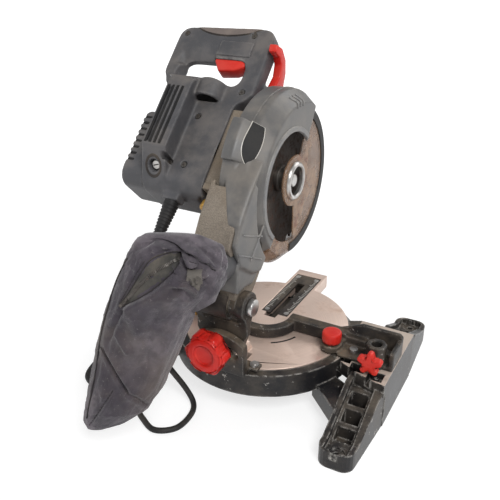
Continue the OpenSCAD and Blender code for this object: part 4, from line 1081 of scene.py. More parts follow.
def tube(path: Path, radius: Union[float, Sequence[float]], sides: int = 14) -> Shape:
    """Sweep a round section along a path.

    Args:
        path: Points of the centre line.
        radius: One radius, or one for each point.
        sides: Sides of the section.

    Returns:
        Points and faces.
    """
    line = [Vector(p) for p in path]
    radii = [float(radius)] * len(line) if isinstance(radius, (int, float)) else list(radius)
    side = Vector((0.31, 0.22, 0.92))
    points = []
    for i, p in enumerate(line):
        along = (line[min(i + 1, len(line) - 1)] - line[max(i - 1, 0)]).normalized()
        side = (side - along * side.dot(along)).normalized()
        other = along.cross(side)
        for k in range(sides):
            a = 2 * math.pi * k / sides
            points.append(tuple(p + (side * math.cos(a) + other * math.sin(a)) * radii[i]))
    return points, quads(len(line), sides) + lids(len(line), sides)


def spline(points: Path, steps: int) -> List[Vector]:
    """Smooth curve through points.

    Args:
        points: Points that the curve passes through.
        steps: Steps between two points.

    Returns:
        Points of the curve.
    """
    p = [Vector(q) for q in points]
    out: List[Vector] = []
    for i in range(len(p) - 1):
        a, b, c, d = p[max(i - 1, 0)], p[i], p[i + 1], p[min(i + 2, len(p) - 1)]
        for k in range(steps):
            t = k / steps
            out.append(b + 0.5 * t * ((c - a) + t * ((2 * a - 5 * b + 4 * c - d) + t * (3 * (b - c) + d - a))))
    return out + [p[-1]]


def length_of(path: Sequence[Vector]) -> float:
    """Length of a path."""
    return sum((path[i + 1] - path[i]).length for i in range(len(path) - 1))


def strip(
    path: Path, normal: Sequence[float], width: float, height: float, sunk: float = 0.4, taper: float = 0.7
) -> Shape:
    """Raised flat strip along a path.

    Args:
        path: Points along its middle, on the surface.
        normal: Direction that it is raised in.
        width: Width of the strip.
        height: Height over the surface.
        sunk: Depth under the surface.
        taper: Width of its top as a share of its foot.

    Returns:
        Points and faces.
    """
    line = [Vector(p) for p in path]
    out = Vector(normal).normalized()
    points = []
    for i, p in enumerate(line):
        along = (line[min(i + 1, len(line) - 1)] - line[max(i - 1, 0)]).normalized()
        across = along.cross(out).normalized() * width / 2
        low, high = p - out * sunk, p + out * height
        points += [tuple(q) for q in (low - across, high - across * taper, high + across * taper, low + across)]
    return points, quads(len(line), 4) + lids(len(line), 4)


def merged(parts: Iterable[Shape]) -> Shape:
    """Join meshes into one.

    Args:
        parts: Points and faces of each.

    Returns:
        Points and faces.
    """
    points, faces = [], []
    for more, others in parts:
        faces += [tuple(i + len(points) for i in face) for face in others]
        points += more
    return points, faces


# Repeated trim by Geometry Nodes


class Unit(Enum):
    """Shapes that are repeated."""

    BLOCK = "GeometryNodeMeshCube"
    ROUND = "GeometryNodeMeshCylinder"


@dataclass
class Repeat:
    """A Geometry Nodes tree that sets one small shape on each point of a mesh."""

    shop: Workshop
    unit: Unit
    size: Tuple[float, float, float]
    finish: Finish

    def tree(self, name: str) -> Tuple[bpy.types.GeometryNodeTree, Dict[str, str]]:
        """Build the tree.

        Args:
            name: Name of the tree.

        Returns:
            The tree and the identifiers of its size inputs.
        """
        tree = bpy.data.node_groups.new(name, "GeometryNodeTree")
        face = tree.interface
        face.new_socket("Geometry", in_out="INPUT", socket_type="NodeSocketGeometry")
        ids = {
            label: face.new_socket(label, in_out="INPUT", socket_type="NodeSocketFloat").identifier
            for label in ("Length", "Width", "Height")
        }
        face.new_socket("Geometry", in_out="OUTPUT", socket_type="NodeSocketGeometry")
        new = tree.nodes.new
        start, end = new("NodeGroupInput"), new("NodeGroupOutput")
        shape = new(self.unit.value)
        join = tree.links.new
        if self.unit is Unit.BLOCK:
            size = new("ShaderNodeCombineXYZ")
            for i, label in enumerate(ids):
                join(start.outputs[label], size.inputs[i])
            join(size.outputs[0], shape.inputs["Size"])
        else:
            shape.inputs["Vertices"].default_value = 20
            join(start.outputs["Width"], shape.inputs["Radius"])
            join(start.outputs["Height"], shape.inputs["Depth"])
        turn = new("GeometryNodeInputNamedAttribute")
        turn.data_type = "FLOAT_VECTOR"
        turn.inputs["Name"].default_value = "turn"
        rotation = new("FunctionNodeEulerToRotation")
        join(turn.outputs["Attribute"], rotation.inputs[0])
        place = new("GeometryNodeInstanceOnPoints")
        join(start.outputs["Geometry"], place.inputs["Points"])
        join(shape.outputs["Mesh"], place.inputs["Instance"])
        join(rotation.outputs[0], place.inputs["Rotation"])
        real = new("GeometryNodeRealizeInstances")
        join(place.outputs[0], real.inputs[0])
        paint = new("GeometryNodeSetMaterial")
        paint.inputs["Material"].default_value = self.finish.material()
        join(real.outputs[0], paint.inputs["Geometry"])
        join(paint.outputs[0], end.inputs[0])
        return tree, ids

    def make(self, name: str, places: Iterable[Matrix], space: Space) -> Obj:
        """Set the shape on each place.

        Args:
            name: Name of the piece.
            places: Matrices in the frame's millimetres.
            space: Frame of the places.

        Returns:
            The plain piece.
        """
        base = space.matrix()
        frames = [base @ m for m in places]
        mesh = bpy.data.meshes.new(name + "_points")
        mesh.from_pydata([m.translation for m in frames], [], [])
        turns = mesh.attributes.new("turn", "FLOAT_VECTOR", "POINT")
        for i, m in enumerate(frames):
            turns.data[i].vector = m.to_euler()
        obj = linked(name + "_points", mesh)
        tree, ids = self.tree(name + "_tree")
        modifier = obj.modifiers.new("repeat", "NODES")
        modifier.node_group = tree
        for identifier, value in zip(ids.values(), self.size):
            modifier[identifier] = value * MM
        return self.shop.bake(obj, name, self.finish, TRIM_ANGLE)

    def put(self, name: str, places: Iterable[Matrix], space: Space, body: str, slot: str, *replaced: str) -> None:
        """Set the shape on each place and put the piece on a body."""
        self.shop.ride(self.make(name, places, space), body, slot, *replaced)


def facing(at: Sequence[float], along: Sequence[float], out: Sequence[float]) -> Matrix:
    """Matrix whose X runs along a direction and whose Z points out of a surface.

    Args:
        at: Place.
        along: Direction of X.
        out: Direction of Z.

    Returns:
        The matrix.
    """
    z = Vector(out).normalized()
    x = (Vector(along) - z * Vector(along).dot(z)).normalized()
    y = z.cross(x)
    return Matrix.Translation(Vector(at)) @ Matrix((x, y, z)).transposed().to_4x4()


# Sub-assemblies


@dataclass(frozen=True)
class View:
    """The photograph's viewpoint."""

    at: Point = (-350.4, 708.7, 561.4)
    yaw: float = 28.297
    pitch: float = 26.145
    lens: float = 47.608
    sensor: float = 36.0
    width: float = 500.0

    def axes(self) -> Tuple[Vector, Vector, Vector]:
        """Find the camera's directions.

        Returns:
            Right, up and ahead.
        """
        yaw, pitch = math.radians(self.yaw), math.radians(self.pitch)
        ahead = Vector((math.sin(yaw) * math.cos(pitch), -math.cos(yaw) * math.cos(pitch), -math.sin(pitch)))
        right = ahead.cross(Vector((0, 0, 1))).normalized()
        return right, right.cross(ahead), ahead

    def pixels(self, points: np.ndarray) -> np.ndarray:
        """Find the places of points in the photograph.

        Args:
            points: Points in metres.

        Returns:
            Places in pixels.
        """
        right, up, ahead = (np.array(v) for v in self.axes())
        gap = points - np.array(self.at) * MM
        scale = self.lens / self.sensor * self.width / (gap @ ahead)
        return np.stack([self.width / 2 + gap @ right * scale, self.width / 2 - gap @ up * scale], 1)

    def ray(self, place: Sequence[float]) -> Tuple[Vector, Vector]:
        """Find the line of sight through a place in the photograph.

        Args:
            place: Place in pixels.

        Returns:
            Start in metres and direction.
        """
        right, up, ahead = self.axes()
        scale = self.sensor / self.lens / self.width
        x, y = (place[0] - self.width / 2) * scale, (self.width / 2 - place[1]) * scale
        return Vector(self.at) * MM, (ahead + right * x + up * y).normalized()


VIEW = View()


@dataclass
class Stage:
    """Camera, lights, floor and world."""

    lamps: Sequence[Tuple[str, Point, float, float]] = (
        ("key", (-1.3, 1.2, 2.0), 0.9, 40.0),
        ("fill", (1.7, 1.1, 1.2), 1.5, 9.0),
        ("front", (-0.7, -1.6, 1.5), 1.4, 15.0),
    )
    aim: Point = (0.0, 0.0, 0.2)
    clip: Pair = (0.02, 60.0)
    world_light: float = 0.4
    floor_half: float = 9.0
    floor_colour: Colour = (0.86, 0.86, 0.86)
    floor_glow: float = 1.3
    floor_shadow: float = 0.45
    shadow_reach: Pair = (0.12, 0.7)

    def camera(self) -> None:
        """Make the camera at the photograph's viewpoint."""
        data = bpy.data.cameras.new("camera")
        data.lens = VIEW.lens
        data.sensor_width = VIEW.sensor
        data.clip_start, data.clip_end = self.clip
        obj = linked("camera", data)
        obj.rotation_mode = "QUATERNION"
        obj.rotation_quaternion = VIEW.axes()[2].to_track_quat("-Z", "Y")
        obj.location = Vector(VIEW.at) * MM
        bpy.context.scene.camera = obj

    def lamp(self, name: str, at: Point, size: float, power: float) -> None:
        """Make a square area lamp.

        Args:
            name: Name of the lamp.
            at: Place in metres.
            size: Side in metres.
            power: Power in watts.
        """
        data = bpy.data.lights.new(name, "AREA")
        data.size = size
        data.energy = power
        obj = linked(name, data)
        obj.location = at
        obj.rotation_mode = "QUATERNION"
        obj.rotation_quaternion = (Vector(self.aim) - Vector(at)).to_track_quat("-Z", "Y")

    def world(self) -> None:
        """Make the soft world, white to the camera and through clear pieces."""
        world = bpy.data.worlds.new("studio")
        bpy.context.scene.world = world
        world.use_nodes = True
        new, join = world.node_tree.nodes.new, world.node_tree.links.new
        world.node_tree.nodes.clear()
        path, out = new("ShaderNodeLightPath"), new("ShaderNodeOutputWorld")
        soft, white = new("ShaderNodeBackground"), new("ShaderNodeBackground")
        for light in (soft, white):
            light.inputs[0].default_value = (1.0, 1.0, 1.0, 1.0)
        soft.inputs[1].default_value = self.world_light
        mix, add = new("ShaderNodeMixShader"), new("ShaderNodeMath")
        add.operation = "ADD"
        add.use_clamp = True
        join(path.outputs["Is Camera Ray"], add.inputs[0])
        join(path.outputs["Is Transmission Ray"], add.inputs[1])
        join(add.outputs[0], mix.inputs[0])
        join(soft.outputs[0], mix.inputs[1])
        join(white.outputs[0], mix.inputs[2])
        join(mix.outputs[0], out.inputs[0])

    def seen(self, shader: Shader) -> Sock:
        """Mark what the camera, a reflection or a clear piece sees.

        Args:
            shader: Shader that the nodes go in.

        Returns:
            1 for those rays and 0 for others.
        """
        path = shader.tree.nodes.new("ShaderNodeLightPath")
        rays = [Sock(shader, path.outputs[k]) for k in ("Is Camera Ray", "Is Glossy Ray", "Is Transmission Ray")]
        return (rays[0] + rays[1] + rays[2]).step(0.0, 0.5)

    def floor(self) -> None:
        """Make the pale floor, which keeps the shadow near the saw."""
        shader = Shader("floor_white")
        shader.finish(Base_Color=self.floor_colour, Roughness=0.9)
        new, join = shader.tree.nodes.new, shader.tree.links.new
        glow, blend = new("ShaderNodeEmission"), new("ShaderNodeMixShader")
        glow.inputs[1].default_value = self.floor_glow
        place = shader.coords()
        x, y = shader.axis(place, 0), shader.axis(place, 1)
        near = 1.0 - (x * x + y * y).step(*self.shadow_reach)
        shader.put(blend, 0, self.seen(shader) * (1.0 - near * self.floor_shadow))
        join(shader.surface.outputs[0], blend.inputs[1])
        join(glow.outputs[0], blend.inputs[2])
        join(blend.outputs[0], shader.output.inputs[0])
        mesh = bpy.data.meshes.new("floor")
        h = self.floor_half
        mesh.from_pydata([(-h, -h, 0), (h, -h, 0), (h, h, 0), (-h, h, 0)], [], [(0, 1, 2, 3)])
        mesh.materials.append(shader.material)
        linked("floor", mesh)

    def light(self) -> None:
        """Make the lamps, the world and the floor."""
        for lamp in self.lamps:
            self.lamp(*lamp)
        self.world()
        self.floor()
        bpy.context.scene.view_settings.view_transform = "Standard"


@dataclass
class MainsCord:
    """Mains cord: hanging stretches from the head to the base, and the coil on the bench."""

    shop: Workshop
    route: Sequence[Point] = (
        (105, 140, 180), (102, 150, 140), (95, 152, 100), (78, 144, 58), (54, 136, 20), (38, 142, 4.4),
        (29, 164, 4), (32, 192, 4), (54, 207, 4), (80, 196, 4), (104, 181, 4), (136, 175, 4), (170, 174, 4),
        (196, 164, 4), (207, 140, 4), (210, 106, 4), (210, 64, 4), (210, 22, 4), (210, -14, 4),
    )
    boot_x: float = 104.0
    boot_end: float = 122.0
    boot_z: float = 20.0
    cuts: Sequence[int] = (0, 9, 18, 57)
    coil_centre: Pair = (260.0, -55.0)
    coil_in: float = 34.0
    coil_step: float = 9.3
    coil_layer: float = 8.2
    coil_z: float = 4.0
    coil_turns: int = 4
    coil_points: int = 36
    plug_r: float = 15.0
    tie_half: float = 6.0
    tie: Outline = (
        (-3.6, 0.3), (-3.2, 14.6), (-1.2, 17.4), (15.6, 17.4), (17.4, 14.6), (17.8, 0.3),
        (16.8, 0.3), (16.4, 14.4), (15.2, 16.4), (-0.8, 16.4), (-2.3, 14.4), (-2.6, 0.3),
    )

    def coil(self, t: float) -> Vector:
        """Find a point of the coil.

        Args:
            t: Turns from its start.

        Returns:
            The point in millimetres.
        """
        away = max(abs(t - self.coil_turns / 2) - 0.25, 0.0)
        r = self.coil_in + self.coil_step * away
        a = math.pi + 2 * math.pi * t
        rise = min(max((t - 1.75) * 2, 0.0), 1.0)
        x, y = self.coil_centre
        return Vector((x + r * math.cos(a), y + r * math.sin(a), self.coil_z + self.coil_layer * rise))

    def line(self) -> Tuple[List[Vector], List[Vector]]:
        """Find the cord's centre lines.

        Returns:
            Points of the free stretch, and of the coil with its tail.
        """
        d = SIZES.cord_d
        to_part = Space.PART.matrix().inverted() @ Space.MOTOR.matrix()
        start = to_part @ Vector((self.boot_x, self.boot_end, self.boot_z))
        ahead = (to_part.to_3x3() @ Vector((0, 1, 0))).normalized()
        turns = [self.coil(i / self.coil_points) for i in range(self.coil_points * self.coil_turns + 1)]
        first, last = turns[0], turns[-1]
        meet = first + Vector((0, d, 0))
        free = spline([start + ahead * d, *self.route, first + Vector((0, 2 * d, 0))], 8)
        lift = self.plug_r + 0.3 - last.z
        tail = [(0, -12, 0.2 * lift), (0, -26, 0.8 * lift), (0, -36, lift), (0, -36 - d, lift)]
        ends = [last + Vector(p) for p in tail]
        smooth_tail = spline([turns[-2], last, *ends], 5)[6:]
        return [start, *free, meet], [meet, *turns, *smooth_tail]

    def stretch(
        self, name: str, path: Sequence[Vector]
    ) -> Obj:
        """Make one stretch of the cord.

        Args:
            name: Name of the piece.
            path: Centre line in millimetres.

        Returns:
            The piece.
        """
        points, faces = tube(path, SIZES.cord_d / 2, 14)
        obj = self.shop.piece(name, points, faces, Space.PART, RUBBER, BEVEL_ANGLE)
        metres = [tuple(p * MM) for p in path]
        length_of(path) * MM
        LOG.info("%s is %.3f m long", name, length_of(path) * MM)
        return obj

    def strap(self) -> None:
        """Make the strap round the coil."""
        x, y = self.coil_centre
        n = len(self.tie)
        points = [(x + self.coil_in + u, y + v, w) for v in (-self.tie_half, self.tie_half) for u, w in self.tie]
        faces = quads(2, n)
        for a in range(n // 2 - 1):
            b = n - 1 - a
            faces += [(a, a + 1, b - 1, b), (n + b, n + b - 1, n + a + 1, n + a)]
        self.shop.place("cord_tie", (points, faces), Space.PART, DARK_PLASTIC_AND_SHADE, EDGE_ANGLE, "base", "rubber")

    def build(self) -> None:
        """Make the three hanging stretches, the coil, its plug and its strap."""
        free, coil = self.line()
        plug = self.shop.rounded("mains_plug", 1.2, 2)
        self.shop.ride(plug, "base", "rubber", "mains_plug")
        upper, middle, lower = (free[a: b + 1] for a, b in zip(self.cuts, self.cuts[1:]))
        top = self.stretch("cord_upper", upper)
        mid = self.stretch("cord_middle", middle)
        low = self.stretch("cord_lower", lower)
        run = self.stretch("cord_run", free[self.cuts[-1]:] + coil[1:])
        upper[2] * MM
        upper[-2] * MM
        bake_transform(top)
        middle[2] * MM
        middle[-2] * MM
        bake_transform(mid)
        lower[1] * MM
        lower[12] * MM
        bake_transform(low)
        self.shop.ride(run, "base", "rubber")
        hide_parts("power_cord")
        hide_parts("cord_coil")
        self.strap()


@dataclass
class Base:
    """Base casting, fence and their small trim."""

    shop: Workshop
    scale_z: float = 47.02
    scale_r: float = 113.8
    scale_end: int = 45
    long_tick: float = 2.9
    short_tick: float = 2.0

    def build(self) -> None:
        """Make the fence, the ticks of the mitre scale and the knobs."""
        shop = self.shop
        fence = shop.moulded("fence_skin", ["fence"], 1.1, 4.0, Space.TABLE)
        shop.ride(fence, "base", "black_paint", "fence")
        places = []
        for degrees in range(-self.scale_end, self.scale_end + 1):
            a = math.radians(degrees - 90)
            r = self.scale_r + (self.short_tick if degrees % 5 else self.long_tick)
            along = (math.cos(a), math.sin(a), 0)
            places.append(facing((r * along[0], r * along[1], self.scale_z), along, (0, 0, 1)))
        ticks = Repeat(shop, Unit.BLOCK, (3.6, 0.45, 0.16), DARK_PLASTIC_AND_SHADE)
        ticks.put("mitre_ticks", places, Space.TABLE, "base", "dark_plastic")
        for side in ("left", "right"):
            for knob, width in ((f"mitre_knob_{side}", 2.6), (f"clamp_knob_{side}", 1.5)):
                shop.ease(knob, knob, "red_plastic", width, 3)


@dataclass
class Table:
    """Turntable, kerf plate scale and bevel quadrant."""

    shop: Workshop
    tick_pitch: float = 4.0
    tick_top: float = 67.28
    tick_start: float = -141.0
    tick_rows: int = 28
    tick_x: Pair = (16.2, 14.8)
    groove_r: float = 55.0
    groove_start: float = 122.0
    groove_span: float = 38.0
    groove_steps: int = 16

    def build(self) -> None:
        """Make the rounded parts, the groove's painted shade and the scale of the kerf plate."""
        shop = self.shop
        shop.ease("turntable", "table", "machined", 0.8)
        shop.ease("bevel_quadrant", "table", "black_paint", 1.0)
        arc = []
        for i in range(self.groove_steps + 1):
            a = math.radians(self.groove_start + self.groove_span * i / self.groove_steps)
            arc.append((self.groove_r * math.cos(a), self.groove_r * math.sin(a), SIZES.table_h))
        # The groove is a thin black strip laid on the table top: painted shade for the groove's dark hollow.
        groove = strip(arc, (0, 0, 1), 3.6, 0.12)
        shop.place("table_groove", groove, Space.TABLE, BLACK_PLATE_AND_SHADE, EDGE_ANGLE, "table", "dark_plastic")
        for name, every_fifth, x, size in (
            ("kerf_ticks_short", False, self.tick_x[0], 4.4), ("kerf_ticks_long", True, self.tick_x[1], 7.2),
        ):
            rows = [i for i in range(self.tick_rows) if (i % 5 == 0) is every_fifth]
            places = [
                facing((side * x, self.tick_start + self.tick_pitch * i, self.tick_top), (1, 0, 0), (0, 0, 1))
                for i in rows for side in (-1, 1)
            ]
            Repeat(shop, Unit.BLOCK, (size, 0.7, 0.2), SCALE_WHITE).put(
                name, places, Space.TABLE, "table", "machined"
            )


@dataclass
class Bracket:
    """Bevel bracket, its knob, the pivot and the hold-down pin."""

    shop: Workshop

    def build(self) -> None:
        """Make the rounded castings and the knob."""
        shop = self.shop
        skin = shop.moulded("bracket_skin", ["bevel_bracket"], 1.0, 5.0, Space.TABLE)
        shop.ride(skin, "bracket", "black_paint", "bevel_bracket")
        shop.ease("pivot_nut", "bracket", "steel", 0.6)
        shop.ease("pivot_bolt", "bracket", "steel", 1.0)
        shop.ease("bevel_knob", "bevel_knob", "red_plastic", 2.4, 3)
        shop.ease("lock_pin", "lock_pin", "brass", 1.0)


@dataclass
class UpperGuard:
    """Upper guard with its lip, seam, ribs, chevrons and bare plate."""

    shop: Workshop
    face_x: float = -28.0
    step_r: float = 99.0
    outer_r: float = 114.0
    shoulder_x: float = -9.0
    opening: Pair = (18.0, 15.5)
    start: float = 87.0
    stop: float = 247.0
    spine: Sequence[Tuple[float, float, float, float]] = (
        (-22.0, 266.0, 12.0, 3.0), (2.0, 262.4, 13.0, 5.5), (16.0, 259.6, 9.0, 6.5), (34.0, 255.7, 1.0, 6.5),
        (50.0, 252.2, -6.0, 6.0), (58.0, 250.3, -9.0, 5.0), (64.0, 247.5, -12.0, 1.5),
    )
    spine_x: float = -28.4
    spine_steps: int = 12
    shroud: Outline = (
        (62, 159), (84, 161), (95.5, 175), (112, 184.5), (95.5, 205), (90, 216), (80, 212), (70, 185),
    )
    shroud_x: Pair = (-25.5, 8.0)
    lip_r: float = 70.4
    lip_points: int = 120
    badge_far: Outline = ((150.8, 113.2), (153.5, 115.4), (157.5, 119.6), (165.0, 120.2), (176.8, 119.0))
    badge_near: Outline = ((150.8, 112.8), (157.0, 109.2), (167.0, 107.2), (172.0, 107.8), (177.2, 109.6))
    badge_ends: Pair = (150.8, 177.0)
    badge_middle: float = 164.0
    badge_steps: int = 24
    ribs: Sequence[Outline] = (
        ((61.3, 238.2), (48.0, 215.0), (35.7, 194.5)),
        ((25.7, 202.9), (48.0, 199.0), (70.7, 195.6)),
        ((82.0, 229.0), (68.0, 200.0), (54.5, 171.4)),
    )

    def tail_shroud(self) -> Obj:
        """Make the tail that wraps the arm down to the pivot."""
        return self.shop.piece("tail_shroud", *slab(self.shroud, *self.shroud_x), Space.HEAD, GUARD_GREY)

    def guard_spine(self) -> Obj:
        """Make the rounded rib that closes the guard along the arm.

        Returns:
            The rib, to be moulded in.
        """
        to_arbor = Space.ARBOR.matrix().inverted() @ Space.HEAD.matrix()
        to_head = to_arbor.inverted()
        clear = self.outer_r - 0.5
        points, steps, rows = [], self.spine_steps, len(self.spine)
        for i, (y, z, right, height) in enumerate(self.spine):
            before, after = self.spine[max(i - 1, 0)], self.spine[min(i + 1, rows - 1)]
            out = Vector((0, before[1] - after[1], after[0] - before[0])).normalized()
            middle, half = (right + self.spine_x) / 2, (right - self.spine_x) / 2
            for k in range(steps + 1):
                turn = math.pi * k / steps
                rise = out * (height * math.sin(turn) ** 0.6 - 3.0)
                at = to_arbor @ Vector((middle + half * math.cos(turn), y + rise.y, z + rise.z))
                grow = max(clear / math.hypot(at.y, at.z), 1.0) if at.x > self.shoulder_x else 1.0
                points.append(tuple(to_head @ Vector((at.x, at.y * grow, at.z * grow))))
        faces = quads(rows, steps + 1) + lids(rows, steps + 1)
        return self.shop.piece("guard_spine", points, faces, Space.HEAD, GUARD_GREY)

    def rounding(self, points: np.ndarray) -> np.ndarray:
        """Give the rounds of smoothing: many outside, one inside where the lower guard swings.

        Args:
            points: Points of the shell.

        Returns:
            Rounds for each point.
        """
        x, y, z = points.T
        r = np.hypot(y, z)
        run, fall = self.outer_r - self.step_r, self.shoulder_x - self.face_x
        cone = ((x - self.face_x) * run - (r - self.step_r) * fall) / math.hypot(run, fall)
        deep = np.minimum(np.minimum(x - self.face_x, self.outer_r - r), cone)
        return np.where(deep > 1.2, 1.0, 8.0)

    def slope(self, r: float, lift: float = 0.0) -> Pair:
        """Find a point on the sloping shoulder.

        Args:
            r: Radius before the lift.
            lift: Height over the shoulder.

        Returns:
            Radius and X.
        """
        share = (r - self.step_r) / (self.outer_r - self.step_r)
        out = Vector((self.shoulder_x - self.face_x, self.step_r - self.outer_r)).normalized()
        return r + out.x * lift, self.face_x + share * (self.shoulder_x - self.face_x) + out.y * lift

    @staticmethod
    def polar(degrees: float, r: float, x: float) -> Vector:
        """Point at an angle and a distance from the arbor."""
        a = math.radians(degrees)
        return Vector((x, r * math.sin(a), -r * math.cos(a)))

    def lip(self) -> None:
        """Make the lip round the opening, lighter grey as a painted highlight."""
        path = []
        for i in range(self.lip_points + 1):
            a = 2 * math.pi * i / self.lip_points
            y, z = self.opening[0] + self.lip_r * math.sin(a), self.opening[1] - self.lip_r * math.cos(a)
            angle = math.degrees(math.atan2(y, -z)) % 360
            if self.start + 1.5 < angle < self.stop - 1.5 and math.hypot(y, z) < self.step_r:
                path.append((self.face_x, y, z))
        self.trim("guard_lip", strip(path, (-1, 0, 0), 7.6, 1.6), Space.ARBOR, LIT_GUARD_GREY, FLAT_ANGLE)

    def trim(self, name: str, shape: Shape, space: Space, finish: Finish, smooth: float = EDGE_ANGLE) -> None:
        """Put a piece of trim on the guard."""
        self.shop.place(name, shape, space, finish, smooth, "head", "grey_plastic")

    def chevrons(self) -> None:
        """Make the three embossed chevrons near the top, lighter grey as a painted highlight."""
        strips = []
        for k in range(3):
            tip = 212.0 + 4.6 * k
            path = []
            for r, back in ((96.0, 3.0), (99.0, 1.5), (102.0, 0.0), (105.0, 1.5), (108.0, 3.0)):
                radius, x = self.slope(r) if r > self.step_r else (r, self.face_x)
                path.append(self.polar(tip - back + 2.0, radius, x))
            strips.append(strip(path, self.polar(tip, 0.55, -1.0), 2.4, 1.0))
        self.trim("guard_chevrons", merged(strips), Space.ARBOR, LIT_GUARD_GREY, FLAT_ANGLE)

    def seam(self) -> None:
        """Make the thin raised seam along the rim."""
        profile = [(self.outer_r + rise, x) for rise, x in ((-0.5, -1.2), (0.9, -0.9), (0.9, 0.9), (-0.5, 1.2))]
        self.trim("guard_seam", turned(profile, 178.0, self.stop - 0.5, 60), Space.ARBOR, GUARD_GREY)

    def leaf(self, grow: float, low: float, high: float) -> Shape:
        """Shape of the bare plate on the shoulder.

        Args:
            grow: Width added all round.
            low: Height of its underside.
            high: Height of its top.

        Returns:
            Points and faces.
        """
        first, last = self.badge_ends[0] - 0.4 * grow, self.badge_ends[1] + 0.4 * grow
        fits = [
            np.polyfit([a - self.badge_middle for a, _ in edge], [r for _, r in edge], 3)
            for edge in (self.badge_far, self.badge_near)
        ]
        points = []
        for i in range(self.badge_steps + 1):
            angle = first + (last - first) * i / self.badge_steps
            far, near = (float(np.polyval(fit, angle - self.badge_middle)) for fit in fits)
            for r, lift in ((near - grow, low), (near - grow, high), (far + grow, high), (far + grow, low)):
                points.append(self.polar(angle, *self.slope(r, lift)))
        return points, quads(self.badge_steps + 1, 4) + lids(self.badge_steps + 1, 4)

    def plate(self) -> None:
        """Make the bare leaf-shaped plate and its thin light border."""
        badge = self.leaf(0.0, 0.1, 0.95)
        self.shop.place(
            "guard_badge", badge, Space.ARBOR, BLACK_PLATE_AND_SHADE, TRIM_ANGLE, "head", "rubber", "guard_plate"
        )
        self.trim("badge_border", self.leaf(0.6, 0.05, 0.6), Space.ARBOR, SCALE_WHITE, TRIM_ANGLE)

    def tail_ribs(self) -> None:
        """Make the crossed ribs on the tail, lighter grey as a painted highlight."""
        lines = [[(self.face_x, y, z) for y, z in rib] for rib in self.ribs]
        shape = merged(strip(line, (-1, 0, 0), 2.2, 1.1) for line in lines)
        self.trim("tail_ribs", shape, Space.HEAD, LIT_GUARD_GREY, FLAT_ANGLE)

    def build(self) -> None:
        """Make the guard and its trim."""
        shell = self.shop.moulded(
            "upper_guard_skin", ["upper_guard"], 1.1, self.rounding, Space.ARBOR,
            extra=[self.guard_spine(), self.tail_shroud()],
        )
        self.shop.ride(shell, "head", "grey_plastic", "upper_guard")
        self.plate()
        self.lip()
        self.chevrons()
        self.seam()
        self.tail_ribs()


